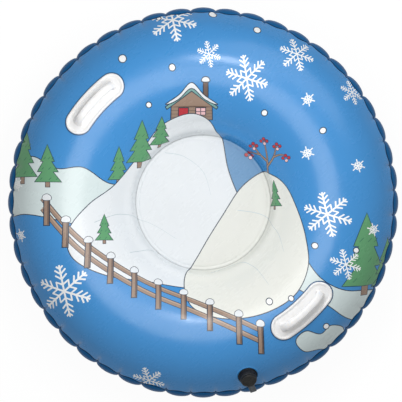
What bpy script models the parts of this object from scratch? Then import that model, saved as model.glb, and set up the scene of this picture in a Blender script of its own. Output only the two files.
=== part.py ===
"""Inflatable snow tube: two welded film sheets round a ring of air, two grab handles and a screw-in valve.

Metres, +Z up. The tube lies on z = 0, centred on the origin, with a grab handle near +X and one near -X.
"""

import math

import bmesh
import bpy
import numpy as np
from mathutils import Matrix, Vector

# Ring of air
OUTER_RADIUS = 0.5028  # to the crease between two rim lobes
LOBE_COUNT = 48
LOBE_DEPTH = 0.0072  # how far a lobe stands out from its creases
LOBE_START = math.radians(50)  # film slope where the lobes begin to swell
LOBE_FULL = math.radians(85)
SEAT_RADIUS = 0.175  # weld between the ring and the flat seat
GROUND_WIDTH = 0.030  # flat band that the tube rests on
TOP_FILM = 0.0006
BOTTOM_FILM = 0.0009
WELD_GAP = 0.0003  # clearance kept between any two pieces that touch

# Seam where the printed sheet ends on top of the plain one
SEAM_AT_CREASE = math.radians(71.4)
SEAM_AT_LOBE = math.radians(61.0)
SEAM_LAP = 0.008
SEAM_JOGGLE = 0.003

# Grab handles
HANDLE_FROM_CROWN = 0.0222  # outwards from the top of the ring to the handle's middle line
HANDLE_LEAN = math.radians(2.7)  # both handles sit this far from the X axis, towards -Y
HANDLE_LENGTH = 0.193
HANDLE_WIDTH = 0.065
PAD_FLOOR = 0.0018
RIM_WIDTH = 0.0076
RIM_HEIGHT = 0.0048
RIM_SHARES = ((0.15, 0.72), (0.5, 1.0), (0.85, 0.72), (1.15, 0.0))  # of the rim's width and its rise
PAD_SPINE_SHARE = 0.8  # of half the pad's width, where the outlines end and faces run across
GRIP_SPAN = 0.132  # between the centres of the two feet
GRIP_WIDTH = 0.020
GRIP_THICKNESS = 0.012
GRIP_CLEARANCE = 0.020  # from the pad's floor to the underside of the grip
GRIP_BEND = 0.030  # length of the curve from a foot to the straight middle

# Valve, heights counted outwards from the film
VALVE_AZIMUTH = math.radians(-30.6)
VALVE_TURN = math.radians(6)  # strap's turn away from straight outwards
FLANGE_RADIUS = 0.026
FLANGE_THICKNESS = 0.0012
COLLAR_RADIUS = 0.023
COLLAR_BORE = 0.0187
COLLAR_HEIGHT = 0.0095
THROAT_DEPTH = 0.012
HOLE_CLEARANCE = 0.0005
VALVE_SEAM_MARGIN = 0.0005  # film between the valve's hole and the lap under the seam
SEAL_THICKNESS = 0.0014
SEAL_WIDTH = 0.0035
THREAD_CLEARANCE = 0.0010
BARREL_WALL = 0.0022
SHOULDER_THICKNESS = 0.0015
SHOULDER_RADIUS = 0.0225
NECK_HEIGHT = 0.0022
NECK_RADIUS = 0.0186
HEAD_THICKNESS = 0.0014
HEAD_RADIUS = 0.0200
GRID_HEIGHT = 0.0020
GRID_SPOKE = 0.0022
GRID_LIFT = 0.0020  # grid's underside above the end of the throat
HUB_RADIUS = 0.0036
HUB_BORE = 0.0017
STEM_CLEARANCE = 0.0004
STEM_HEAD = 0.0010  # how far the stem's head overhangs the hub's bore
FLAP_THICKNESS = 0.0010
FLAP_LAP = 0.0015  # how far the flap covers the barrel's end
FLAP_TRAVEL = 0.0025
CAP_RADIUS = 0.0205
CAP_THICKNESS = 0.0037
CAP_DISH = 0.0009
CAP_LIP = 0.0030
PLUG_DEPTH = 0.0044
PLUG_TAPER = 0.0006
PLUG_WALL = 0.0020
EDGE_ROUND = 0.0008
STRAP_WIDTH = 0.017
STRAP_THICKNESS = 0.0016
STRAP_REACH = 0.046  # valve's axis to the fold line of the strap
STRAP_LIP = 0.0023

# Facets
SECTION_STEPS = 4000
INNER_WALL_SHARES = (0.76, 0.50)  # of the film's slope at the seat weld
INNER_CROWN_SHARE = 0.25
TOP_SLOPES = [math.radians(angle) for angle in (0, 15, 30)]
UNDER_SLOPES = [math.radians(angle) for angle in (18, 31)]
SHOULDER_SLOPE = math.radians(44)  # where both sheets take on their finer facets
FLANK_SLOPE = math.radians(67)
EQUATOR = math.pi / 2
SEAT_SEGMENTS = LOBE_COUNT
CROWN_SEGMENTS = 2 * SEAT_SEGMENTS
RIM_SEGMENTS = 2 * CROWN_SEGMENTS
VALVE_SEGMENTS = 28
OVERRUN = 0.004  # how far cutters run past what they cut


def section_table(crown):
    """Film slopes, radii and heights over the middle plane, from the seat weld to the equator."""
    span = GAS_RADIUS**2 - crown**2
    first = math.asin((SEAT_RADIUS**2 - crown**2) / span)
    slopes = np.linspace(first, EQUATOR, SECTION_STEPS)
    radii = np.sqrt(crown**2 + span * np.sin(slopes))
    falls = span * np.sin(slopes) / (2 * radii)
    drops = (falls[1:] + falls[:-1]) / 2 * np.diff(slopes)
    heights = np.append(np.cumsum(drops[::-1])[::-1], 0)
    return slopes, radii, heights


def solve_crown():
    """Crown radius at which the upper and lower film meet again at the seat weld."""
    low = SEAT_RADIUS
    high = math.sqrt((GAS_RADIUS**2 + SEAT_RADIUS**2) / 2)
    while high - low > high * 1e-9:
        middle = (low + high) / 2
        if section_table(middle)[2][0] > 0:
            low = middle
        else:
            high = middle
    return low


GAS_RADIUS = OUTER_RADIUS - BOTTOM_FILM
CROWN_RADIUS = solve_crown()
SLOPES, RADII, HEIGHTS = section_table(CROWN_RADIUS)


def radius_at(slope):
    return float(np.interp(slope, SLOPES, RADII))


def height_at(slope):
    return float(np.interp(slope, SLOPES, HEIGHTS))


def slope_at(radius):
    return float(np.interp(radius, RADII, SLOPES))


def bend_at(slope):
    """Radius of the section's own curve."""
    return (GAS_RADIUS**2 - CROWN_RADIUS**2) / (2 * radius_at(slope))


GROUND_OUTER = slope_at(CROWN_RADIUS + GROUND_WIDTH / 2)
GROUND_HEIGHT = height_at(GROUND_OUTER)
INNER_SIDE = SLOPES < 0
GROUND_INNER = float(np.interp(GROUND_HEIGHT, HEIGHTS[INNER_SIDE], SLOPES[INNER_SIDE]))
MID_HEIGHT = GROUND_HEIGHT + BOTTOM_FILM
HANDLE_RADIUS = CROWN_RADIUS + HANDLE_FROM_CROWN
VALVE_FROM_SEAM = COLLAR_RADIUS + HOLE_CLEARANCE + VALVE_SEAM_MARGIN + SEAM_LAP
VALVE_SLOPE = SEAM_AT_LOBE - VALVE_FROM_SEAM / bend_at(SEAM_AT_LOBE)


def lobe_share(azimuth):
    """0 in a crease between two lobes, 1 on a lobe's crest."""
    turn = (azimuth * LOBE_COUNT / math.tau + 0.5) % 1
    return 4 * turn * (1 - turn)


def lobe_reach(slope, azimuth):
    """How far the film stands out at a lobe."""
    t = min(max((slope - LOBE_START) / (LOBE_FULL - LOBE_START), 0), 1)
    return LOBE_DEPTH * t * t * (3 - 2 * t) * lobe_share(azimuth)


def seam_slope(azimuth):
    return SEAM_AT_CREASE + (SEAM_AT_LOBE - SEAM_AT_CREASE) * lobe_share(azimuth)


def along_seam(distance):
    """Slope at this distance from the seam, towards the equator if positive."""
    return lambda azimuth: seam_slope(azimuth) + distance / bend_at(seam_slope(azimuth))


def on_film(slope, past_equator=False):
    """A station of a sheet: radius and height over the middle plane, for an azimuth and a lift."""
    side = -1 if past_equator else 1

    def place(azimuth, lift):
        angle = slope(azimuth) if callable(slope) else slope
        radius = radius_at(angle) + lift * math.sin(angle) + lobe_reach(angle, azimuth)
        return radius, side * (height_at(angle) + lift * math.cos(angle))

    return place


def on_ground(slope):
    return lambda azimuth, lift: (radius_at(slope), GROUND_HEIGHT + lift)


def at_seat_weld(azimuth, lift):
    return SEAT_RADIUS - lift * math.tan(-SLOPES[0] / 2), WELD_GAP / 2 + lift


def polar(radius, azimuth, height):
    return Vector((radius * math.cos(azimuth), radius * math.sin(azimuth), height))


def film_point(slope, azimuth, lift):
    """A point over the tube's upper film, lifted square to it."""
    radius, height = on_film(slope)(azimuth, TOP_FILM + lift)
    return polar(radius, azimuth, MID_HEIGHT + height)


def make_material(name, colour, roughness):
    material = bpy.data.materials.new(name)
    material.use_nodes = True
    shader = material.node_tree.nodes["Principled BSDF"]
    shader.inputs["Base Color"].default_value = (*colour, 1)
    shader.inputs["Roughness"].default_value = roughness
    shader.inputs["Metallic"].default_value = 0
    return material


def add_object(name, bm, material=None, matrix=None, sharp=40):
    """Turns a bmesh into a named object with its faces pointing out."""
    bmesh.ops.recalc_face_normals(bm, faces=bm.faces)
    mesh = bpy.data.meshes.new(name)
    bm.to_mesh(mesh)
    bm.free()
    mesh.shade_smooth()
    mesh.set_sharp_from_angle(angle=math.radians(sharp))
    obj = bpy.data.objects.new(name, mesh)
    bpy.context.scene.collection.objects.link(obj)
    if material:
        mesh.materials.append(material)
    else:
        obj.hide_render = True
        obj.display_type = "WIRE"
    if matrix:
        obj.matrix_world = matrix
    return obj


def combine(obj, tool, operation):
    modifier = obj.modifiers.new(tool.name, "BOOLEAN")
    modifier.operation = operation
    modifier.solver = "EXACT"
    modifier.object = tool


def bridge(bm, first, second):
    """Faces between two closed rings of vertices, the second with as many vertices or twice as many."""
    count = len(first)
    double = len(second) == 2 * count
    for i in range(count):
        j = (i + 1) % count
        if double:
            left, middle, right = second[2 * i], second[2 * i + 1], second[2 * j]
            bm.faces.new((first[i], left, middle))
            bm.faces.new((first[i], middle, first[j]))
            bm.faces.new((first[j], middle, right))
        elif (first[i].co - second[j].co).length < (first[j].co - second[i].co).length:
            bm.faces.new((first[i], second[i], second[j]))
            bm.faces.new((first[i], second[j], first[j]))
        else:
            bm.faces.new((first[i], second[i], first[j]))
            bm.faces.new((first[j], second[i], second[j]))


def sheet(name, stations, thickness, side, material):
    """A film sheet: a flat seat disc and the rings of its stations, each a count, a place and a lift."""
    bm = bmesh.new()
    layers = []
    for more in (0, thickness):
        rings = []
        for count, place, lift in stations:
            ring = []
            for i in range(count):
                azimuth = math.tau * i / count
                radius, height = place(azimuth, lift + more)
                ring.append(bm.verts.new(polar(radius, azimuth, MID_HEIGHT + side * height)))
            rings.append(ring)
        bm.faces.new(rings[0])
        for first, second in zip(rings, rings[1:]):
            bridge(bm, first, second)
        layers.append(rings)
    bridge(bm, layers[0][-1], layers[1][-1])
    return add_object(name, bm, material)


def top_sheet(material):
    """The printed sheet: seat, inner wall and crown, down to the lap seam near the rim."""
    inner = [SLOPES[0] * share for share in INNER_WALL_SHARES]
    crown = [SLOPES[0] * INNER_CROWN_SHARE, *TOP_SLOPES, SHOULDER_SLOPE]
    stations = [(SEAT_SEGMENTS, at_seat_weld, 0)]
    stations += [(SEAT_SEGMENTS, on_film(slope), 0) for slope in inner]
    stations += [(CROWN_SEGMENTS, on_film(slope), 0) for slope in crown]
    stations += [(RIM_SEGMENTS, on_film(along_seam(distance)), 0) for distance in (-SEAM_LAP, 0)]
    obj = sheet("top_sheet", stations, TOP_FILM, 1, material)
    cutter = turned(
        "valve_hole",
        [
            (0, THROAT_DEPTH),
            (COLLAR_RADIUS + HOLE_CLEARANCE, THROAT_DEPTH),
            (COLLAR_RADIUS + HOLE_CLEARANCE, -THROAT_DEPTH),
            (0, -THROAT_DEPTH),
        ],
    )
    combine(obj, cutter, "DIFFERENCE")
    return obj


def bottom_sheet(material):
    """The plain, thicker sheet: lower seat layer, ground ring, lobed rim, and the lap under the other."""
    inner = [SLOPES[0] * share for share in (*INNER_WALL_SHARES, INNER_CROWN_SHARE)]
    tucked = -WELD_GAP - BOTTOM_FILM
    stations = [(SEAT_SEGMENTS, at_seat_weld, 0)]
    stations += [(SEAT_SEGMENTS, on_film(slope), 0) for slope in inner]
    stations += [(SEAT_SEGMENTS, on_ground(slope), 0) for slope in (GROUND_INNER, GROUND_OUTER)]
    stations += [(SEAT_SEGMENTS, on_film(slope), 0) for slope in UNDER_SLOPES]
    stations += [(CROWN_SEGMENTS, on_film(SHOULDER_SLOPE), 0)]
    stations += [(RIM_SEGMENTS, on_film(slope), 0) for slope in (FLANK_SLOPE, EQUATOR)]
    stations += [(RIM_SEGMENTS, on_film(halfway_to_seam, True), 0)]
    stations += [(RIM_SEGMENTS, on_film(along_seam(SEAM_JOGGLE), True), 0)]
    stations += [(RIM_SEGMENTS, on_film(along_seam(WELD_GAP), True), tucked)]
    stations += [(RIM_SEGMENTS, on_film(along_seam(-SEAM_LAP), True), tucked)]
    return sheet("bottom_sheet", stations, BOTTOM_FILM, -1, material)


def halfway_to_seam(azimuth):
    return (EQUATOR + seam_slope(azimuth)) / 2


def capsule(inset, quarter_steps=5, side_steps=5):
    """Outline of a handle's pad, moved in by the inset, from one tip round: length and width pairs."""
    radius = HANDLE_WIDTH / 2 - inset
    straight = (HANDLE_LENGTH - HANDLE_WIDTH) / 2
    half = []
    for i in range(quarter_steps):
        angle = math.pi / 2 * i / quarter_steps
        half.append((-straight - radius * math.cos(angle), radius * math.sin(angle)))
    for i in range(side_steps + 1):
        half.append((straight * (2 * i / side_steps - 1), radius))
    for i in range(1, quarter_steps + 1):
        angle = math.pi / 2 * (1 - i / quarter_steps)
        half.append((straight + radius * math.cos(angle), radius * math.sin(angle)))
    return half + [(u, -v) for u, v in half[-2:0:-1]]


def close_capsule(bm, ring):
    """Fills the innermost outline of a pad with faces across it."""
    count = len(ring)
    for i in range(count // 2):
        corners = (ring[i], ring[i + 1], ring[count - i - 1], ring[(count - i) % count])
        bm.faces.new(dict.fromkeys(corners))


def handle_pad(name, azimuth, material):
    """The oval weld pad of a handle, bent to the film, with a rolled rim round a shallow trough."""
    floor = WELD_GAP + PAD_FLOOR
    rise = RIM_HEIGHT - PAD_FLOOR
    spine = HANDLE_WIDTH / 2 * PAD_SPINE_SHARE
    halfway = (RIM_WIDTH + spine) / 2
    under = [(spine, WELD_GAP), (halfway, WELD_GAP), (0, WELD_GAP)]
    rim = [(RIM_WIDTH * inset, floor + rise * height) for inset, height in RIM_SHARES]
    over = [(0, WELD_GAP + PAD_FLOOR / 2), *rim, (halfway, floor), (spine, floor)]
    bm = bmesh.new()
    rings = []
    for inset, lift in under + over:
        ring = []
        for u, v in capsule(inset):
            place = film_point(slope_at(HANDLE_RADIUS + v), azimuth + u / HANDLE_RADIUS, lift)
            ring.append(bm.verts.new(place))
        rings.append(ring)
    for first, second in zip(rings, rings[1:]):
        bridge(bm, first, second)
    close_capsule(bm, rings[0])
    close_capsule(bm, rings[-1])
    return add_object(name, bm, material)


def grip_path(bend_steps=5, middle_steps=3):
    """Middle line of a grip: length, height over the film and direction, from foot to foot."""
    foot = WELD_GAP + PAD_FLOOR + WELD_GAP
    rise = PAD_FLOOR + GRIP_CLEARANCE + GRIP_THICKNESS / 2 + WELD_GAP - foot
    points = []
    for i in range(bend_steps + 1):
        angle = math.pi / 2 * i / bend_steps
        along = -GRIP_SPAN / 2 + GRIP_BEND * (1 - math.cos(angle))
        direction = math.atan2(rise * math.cos(angle), GRIP_BEND * math.sin(angle))
        points.append((along, foot + rise * math.sin(angle), direction))
    start = GRIP_SPAN / 2 - GRIP_BEND
    for i in range(1, middle_steps):
        points.append((start * (2 * i / middle_steps - 1), foot + rise, 0))
    return points + [(-u, h, -direction) for u, h, direction in points[bend_steps::-1]]


def handle_grip(name, azimuth, material, sides=12):
    """The arched grip bar that stands on its pad by two feet."""
    slope = slope_at(HANDLE_RADIUS)
    bm = bmesh.new()
    rings = []
    for u, h, direction in grip_path():
        ring = []
        for i in range(sides):
            angle = math.tau * i / sides
            across = GRIP_WIDTH / 2 * math.cos(angle)
            up = GRIP_THICKNESS / 2 * math.sin(angle)
            turn = azimuth + (u - up * math.sin(direction)) / HANDLE_RADIUS
            lift = TOP_FILM + h + up * math.cos(direction)
            radius = radius_at(slope) + lift * math.sin(slope) + across * math.cos(slope)
            height = height_at(slope) + lift * math.cos(slope) - across * math.sin(slope)
            ring.append(bm.verts.new(polar(radius, turn, MID_HEIGHT + height)))
        rings.append(ring)
    for first, second in zip(rings, rings[1:]):
        bridge(bm, first, second)
    bm.faces.new(rings[0])
    bm.faces.new(rings[-1])
    return add_object(name, bm, material)


def valve_matrix():
    """Valve frame: X down the film's slope along the strap, Z out along the valve's axis."""
    outward = polar(1, VALVE_AZIMUTH, 0)
    up = Vector((0, 0, 1))
    axis = outward * math.sin(VALVE_SLOPE) + up * math.cos(VALVE_SLOPE)
    downhill = outward * math.cos(VALVE_SLOPE) - up * math.sin(VALVE_SLOPE)
    along = axis.cross(downhill)
    turn = Matrix((downhill, along, axis)).transposed().to_4x4()
    place = Matrix.Translation(film_point(VALVE_SLOPE, VALVE_AZIMUTH, 0))
    return place @ turn @ Matrix.Rotation(VALVE_TURN, 4, "Z")


VALVE = valve_matrix()

# Levels of the valve's stack, outwards from the film
SEAL_BASE = COLLAR_HEIGHT + WELD_GAP
SHOULDER_BASE = SEAL_BASE + SEAL_THICKNESS + WELD_GAP
NECK_BASE = SHOULDER_BASE + SHOULDER_THICKNESS
HEAD_BASE = NECK_BASE + NECK_HEIGHT
HEAD_TOP = HEAD_BASE + HEAD_THICKNESS
CAP_BASE = HEAD_TOP + WELD_GAP
CAP_TOP = CAP_BASE + CAP_THICKNESS
FOLD_HEIGHT = (HEAD_BASE - WELD_GAP + CAP_BASE) / 2
BARREL_RADIUS = COLLAR_BORE - THREAD_CLEARANCE
VALVE_BORE = BARREL_RADIUS - BARREL_WALL
GRID_BASE = GRID_LIFT - THROAT_DEPTH
GRID_TOP = GRID_BASE + GRID_HEIGHT
FOLD = VALVE @ Matrix.Translation((STRAP_REACH, 0, FOLD_HEIGHT))


def turned(name, profile, material=None, matrix=None):
    """A body turned about the valve's axis from a closed outline of radius and height pairs."""
    bm = bmesh.new()
    points = [bm.verts.new((radius, 0, height)) for radius, height in profile]
    edges = [bm.edges.new((a, b)) for a, b in zip(points, points[1:] + points[:1]) if a.co.x or b.co.x]
    bmesh.ops.spin(
        bm,
        geom=points + edges,
        cent=(0, 0, 0),
        axis=(0, 0, 1),
        angle=math.tau,
        steps=VALVE_SEGMENTS,
        use_merge=True,
    )
    bmesh.ops.remove_doubles(bm, verts=bm.verts, dist=OUTER_RADIUS * 1e-6)
    return add_object(name, bm, material, matrix or VALVE)


def slab(name, outline, width, material=None):
    """A strap cut from an outline of reach and height pairs, as wide as given, in the valve's frame."""
    bm = bmesh.new()
    points = [bm.verts.new((reach, -width / 2, height)) for reach, height in outline]
    face = bm.faces.new(points)
    grown = bmesh.ops.extrude_face_region(bm, geom=[face])["geom"]
    moved = [item for item in grown if isinstance(item, bmesh.types.BMVert)]
    bmesh.ops.translate(bm, verts=moved, vec=(0, width, 0))
    return add_object(name, bm, material, VALVE)


def valve_base(material):
    """The weld flange, bent to the film, with the collar and throat that the insert screws into."""
    collar = turned(
        "valve_base",
        [
            (COLLAR_RADIUS - EDGE_ROUND, COLLAR_HEIGHT),
            (COLLAR_RADIUS, COLLAR_HEIGHT - EDGE_ROUND),
            (COLLAR_RADIUS, -THROAT_DEPTH),
            (COLLAR_BORE, -THROAT_DEPTH),
            (COLLAR_BORE, COLLAR_HEIGHT),
        ],
        material,
    )
    bm = bmesh.new()
    rings = []
    inside = (COLLAR_RADIUS + COLLAR_BORE) / 2
    top = WELD_GAP + FLANGE_THICKNESS
    outline = [(inside, WELD_GAP), (FLANGE_RADIUS, WELD_GAP), (FLANGE_RADIUS, top), (inside, top)]
    for reach, lift in outline:
        ring = []
        for i in range(VALVE_SEGMENTS):
            angle = math.tau * i / VALVE_SEGMENTS
            local = VALVE_SLOPE + reach * math.cos(angle) / bend_at(VALVE_SLOPE)
            turn = VALVE_AZIMUTH + reach * math.sin(angle) / radius_at(local)
            ring.append(bm.verts.new(film_point(local, turn, lift)))
        rings.append(ring)
    for first, second in zip(rings, rings[1:] + rings[:1]):
        bridge(bm, first, second)
    combine(collar, add_object("valve_flange", bm), "UNION")
    return collar


def valve_seal(material):
    """The flat ring between the collar and the insert's shoulder."""
    inside = BARREL_RADIUS + THREAD_CLEARANCE / 2
    return turned(
        "valve_seal",
        [
            (inside + SEAL_WIDTH, SEAL_BASE + SEAL_THICKNESS),
            (inside + SEAL_WIDTH, SEAL_BASE),
            (inside, SEAL_BASE),
            (inside, SEAL_BASE + SEAL_THICKNESS),
        ],
        material,
    )


def valve_insert(material):
    """The screw-in one-way unit: barrel, shoulder, neck for the strap's ring, and the flap's grid."""
    body = turned(
        "valve_insert",
        [
            (HEAD_RADIUS, HEAD_TOP),
            (HEAD_RADIUS, HEAD_BASE),
            (NECK_RADIUS, HEAD_BASE),
            (NECK_RADIUS, NECK_BASE),
            (SHOULDER_RADIUS, NECK_BASE),
            (SHOULDER_RADIUS, SHOULDER_BASE),
            (BARREL_RADIUS, SHOULDER_BASE),
            (BARREL_RADIUS, GRID_BASE),
            (VALVE_BORE, GRID_BASE),
            (VALVE_BORE, HEAD_TOP),
        ],
        material,
    )
    reach = (BARREL_RADIUS + VALVE_BORE) / 2
    outline = [(-reach, GRID_BASE), (reach, GRID_BASE), (reach, GRID_TOP), (-reach, GRID_TOP)]
    for name, quarter in (("grid_bar", 0), ("grid_cross_bar", 1)):
        bar = slab(name, outline, GRID_SPOKE)
        bar.matrix_world = VALVE @ Matrix.Rotation(math.pi / 2 * quarter + math.pi / 4, 4, "Z")
        combine(body, bar, "UNION")
    hub = [(0, GRID_TOP), (HUB_RADIUS, GRID_TOP), (HUB_RADIUS, GRID_BASE), (0, GRID_BASE)]
    combine(body, turned("grid_hub", hub), "UNION")
    high, low = GRID_TOP + OVERRUN, GRID_BASE - OVERRUN
    hole = [(0, high), (HUB_BORE, high), (HUB_BORE, low), (0, low)]
    combine(body, turned("stem_hole", hole), "DIFFERENCE")
    return body


def valve_flap(material):
    """The soft one-way flap under the grid, held by its stem through the hub."""
    top = GRID_BASE - WELD_GAP
    stem = HUB_BORE - STEM_CLEARANCE
    stop = GRID_TOP + FLAP_TRAVEL + WELD_GAP
    knob = HUB_BORE + STEM_HEAD
    return turned(
        "valve_flap",
        [
            (0, stop + knob),
            (knob / 2, stop + knob),
            (knob, stop),
            (stem, stop),
            (stem, top),
            (VALVE_BORE + FLAP_LAP, top),
            (VALVE_BORE + FLAP_LAP, top - FLAP_THICKNESS),
            (0, top - FLAP_THICKNESS),
        ],
        material,
    )


def cap_tether(material):
    """The strap's ring round the insert's neck, and the lower half of the strap out to the fold."""
    low = NECK_BASE + WELD_GAP
    high = HEAD_BASE - WELD_GAP
    inside = NECK_RADIUS + WELD_GAP
    outside = SHOULDER_RADIUS - EDGE_ROUND
    ring = turned("cap_tether", [(outside, high), (outside, low), (inside, low), (inside, high)], material)
    end = STRAP_REACH - WELD_GAP
    root = (inside + outside) / 2
    lip_top = FOLD_HEIGHT - WELD_GAP / 2
    outline = [
        (root, low),
        (end - EDGE_ROUND, low),
        (end, low + EDGE_ROUND),
        (end, lip_top),
        (end - STRAP_LIP, lip_top),
        (end - STRAP_LIP, high),
        (root, high),
    ]
    combine(ring, slab("tether_strap", outline, STRAP_WIDTH), "UNION")
    return ring


def valve_cap(material):
    """The dished cap with its plug and the upper half of the strap, hinged on the fold."""
    to_fold = Matrix.Translation((-STRAP_REACH, 0, -FOLD_HEIGHT))
    plug = VALVE_BORE - WELD_GAP
    lip = CAP_RADIUS - CAP_LIP
    cap = turned(
        "valve_cap",
        [
            (0, CAP_TOP - CAP_DISH),
            (lip - CAP_DISH, CAP_TOP - CAP_DISH),
            (lip, CAP_TOP),
            (CAP_RADIUS - EDGE_ROUND, CAP_TOP),
            (CAP_RADIUS, CAP_TOP - EDGE_ROUND),
            (CAP_RADIUS, CAP_BASE),
            (plug, CAP_BASE),
            (plug - PLUG_TAPER, CAP_BASE - PLUG_DEPTH),
            (plug - PLUG_TAPER - PLUG_WALL, CAP_BASE - PLUG_DEPTH),
            (plug - PLUG_WALL, CAP_BASE),
            (0, CAP_BASE),
        ],
        material,
    )
    cap.data.transform(to_fold)
    cap.matrix_world = FOLD
    root = CAP_RADIUS - CAP_LIP / 2
    lip_base = FOLD_HEIGHT + WELD_GAP / 2
    outline = [
        (root, CAP_BASE),
        (STRAP_REACH - STRAP_LIP, CAP_BASE),
        (STRAP_REACH - STRAP_LIP, lip_base),
        (STRAP_REACH, lip_base),
        (STRAP_REACH, CAP_BASE + STRAP_THICKNESS - EDGE_ROUND),
        (STRAP_REACH - EDGE_ROUND, CAP_BASE + STRAP_THICKNESS),
        (root, CAP_BASE + STRAP_THICKNESS),
    ]
    combine(cap, slab("cap_strap", outline, STRAP_WIDTH), "UNION")
    return cap


def build():
    for obj in list(bpy.data.objects):
        bpy.data.objects.remove(obj)
    top_sheet(make_material("printed_film", (0.094, 0.314, 0.665), 0.32))
    bottom_sheet(make_material("plain_film", (0.009, 0.063, 0.176), 0.35))
    for side, azimuth in (("right", -HANDLE_LEAN), ("left", math.pi + HANDLE_LEAN)):
        white = make_material(f"{side}_handle_vinyl", (0.86, 0.86, 0.85), 0.38)
        handle_pad(f"{side}_handle_pad", azimuth, white)
        bright = make_material(f"{side}_grip_vinyl", (0.9, 0.9, 0.89), 0.34)
        handle_grip(f"{side}_handle_grip", azimuth, bright)
    valve_base(make_material("valve_vinyl", (0.013, 0.016, 0.019), 0.42))
    valve_seal(make_material("seal_rubber", (0.02, 0.02, 0.022), 0.7))
    valve_insert(make_material("insert_plastic", (0.022, 0.025, 0.028), 0.36))
    valve_flap(make_material("flap_silicone", (0.62, 0.62, 0.6), 0.5))
    cap_tether(make_material("tether_vinyl", (0.026, 0.029, 0.033), 0.4))
    valve_cap(make_material("cap_vinyl", (0.03, 0.034, 0.038), 0.4))


build()
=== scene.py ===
"""Looks of the inflatable snow tube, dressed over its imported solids."""

import math

import bmesh
import bpy
import numpy as np
from mathutils import Matrix, Vector, geometry


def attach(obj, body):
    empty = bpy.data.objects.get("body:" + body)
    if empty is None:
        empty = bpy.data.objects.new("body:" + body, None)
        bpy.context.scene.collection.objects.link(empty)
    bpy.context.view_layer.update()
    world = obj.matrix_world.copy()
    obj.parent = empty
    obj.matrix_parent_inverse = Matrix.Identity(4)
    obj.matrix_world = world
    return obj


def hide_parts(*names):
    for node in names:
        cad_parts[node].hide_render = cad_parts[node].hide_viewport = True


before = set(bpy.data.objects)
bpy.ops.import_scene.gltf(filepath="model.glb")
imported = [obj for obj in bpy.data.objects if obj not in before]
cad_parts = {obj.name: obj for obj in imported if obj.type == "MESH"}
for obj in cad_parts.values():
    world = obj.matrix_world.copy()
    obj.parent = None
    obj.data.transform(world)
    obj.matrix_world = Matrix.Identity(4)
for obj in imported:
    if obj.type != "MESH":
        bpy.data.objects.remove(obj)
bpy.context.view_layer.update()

# Section of the air ring, as in the part
OUTER_RADIUS = 0.5028
LOBE_COUNT = 48
LOBE_DEPTH = 0.0072
LOBE_FULLNESS = 0.75
LOBE_START = math.radians(50)
LOBE_FULL = math.radians(85)
SEAT_RADIUS = 0.175
GROUND_WIDTH = 0.030
TOP_FILM = 0.0006
BOTTOM_FILM = 0.0009
WELD_GAP = 0.0003
SEAM_AT_LOBE = math.radians(61.0)
PRINT_AT_CREASE = math.radians(73.0)
PRINT_AT_LOBE = math.radians(66.0)
SEAM_LAP = 0.008
WELD_REACH = 0.0040  # how far the seam's darker weld shows below the print, partly painted shadow under the print's edge
SEAL_WIDTH = 0.0026
EQUATOR = math.pi / 2
SECTION_STEPS = 4000

# Handles
HANDLE_FROM_CROWN = 0.0222
HANDLE_LEAN = math.radians(2.7)
HANDLE_LENGTH = 0.193
HANDLE_WIDTH = 0.065
PAD_FLOOR = 0.0018
RIM_WIDTH = 0.0076
RIM_HEIGHT = 0.0048
GRIP_SPAN = 0.132
GRIP_WIDTH = 0.020
GRIP_THICKNESS = 0.012
GRIP_CLEARANCE = 0.020
GRIP_BEND = 0.030

# Valve
VALVE_AZIMUTH = math.radians(-30.6)
VALVE_HOLE = 0.0235
VALVE_FLANGE = 0.026
VALVE_FROM_SEAM = 0.032

# Unevenness of the blown-up film
LOBE_BULGE = 0.0019
RIPPLE_HEIGHT = 0.0055
RIPPLE_FROM_WELD = 0.035
RIPPLE_SPREAD = 0.017
SWELL_HEIGHT = 0.0011
SWELL_FROM_FLANGE = 0.0026
SWELL_SPREAD = 0.0015
SLACK_HEIGHT = 0.0011
UNDER_SLACK = 0.0012
PUCKER_HEIGHT = 0.0009
CREASE_WIDTH = 0.0042
CREASE_DEPTH = 0.0008
CREASE_SWAY = 0.35
LAP_LIFT = 0.0004  # how far the print's edge is lifted by the lap
SEAL_FROM, SEAL_TO = 0.0095, 0.0035  # the seat's heat seal, counted inwards from the weld
SEAL_DEPTH = 0.0003
PROFILE_STEPS = 6000
WELD_ROUNDING = 0.0022

# Picture on the printed sheet, seen with its own up direction
PICTURE_TURN = math.radians(45)
LINE_WIDTH = 0.0026


def section_table(crown):
    """Film slopes, radii and heights over the middle plane, from the seat weld to the equator."""
    span = GAS_RADIUS**2 - crown**2
    first = math.asin((SEAT_RADIUS**2 - crown**2) / span)
    slopes = np.linspace(first, EQUATOR, SECTION_STEPS)
    radii = np.sqrt(crown**2 + span * np.sin(slopes))
    falls = span * np.sin(slopes) / (2 * radii)
    drops = (falls[1:] + falls[:-1]) / 2 * np.diff(slopes)
    heights = np.append(np.cumsum(drops[::-1])[::-1], 0)
    return slopes, radii, heights


def solve_crown():
    """Crown radius at which the upper and lower film meet again at the seat weld."""
    low = SEAT_RADIUS
    high = math.sqrt((GAS_RADIUS**2 + SEAT_RADIUS**2) / 2)
    while high - low > high * 1e-9:
        middle = (low + high) / 2
        if section_table(middle)[2][0] > 0:
            low = middle
        else:
            high = middle
    return low


GAS_RADIUS = OUTER_RADIUS - BOTTOM_FILM
CROWN_RADIUS = solve_crown()
SLOPES, RADII, HEIGHTS = section_table(CROWN_RADIUS)
ARCS = np.append(0, np.cumsum(np.hypot(np.diff(RADII), np.diff(HEIGHTS))))


def radius_at(slope):
    return np.interp(slope, SLOPES, RADII)


def height_at(slope):
    return np.interp(slope, SLOPES, HEIGHTS)


def slope_at(radius):
    return np.interp(radius, RADII, SLOPES)


def arc_at(slope):
    return np.interp(slope, SLOPES, ARCS)


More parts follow.
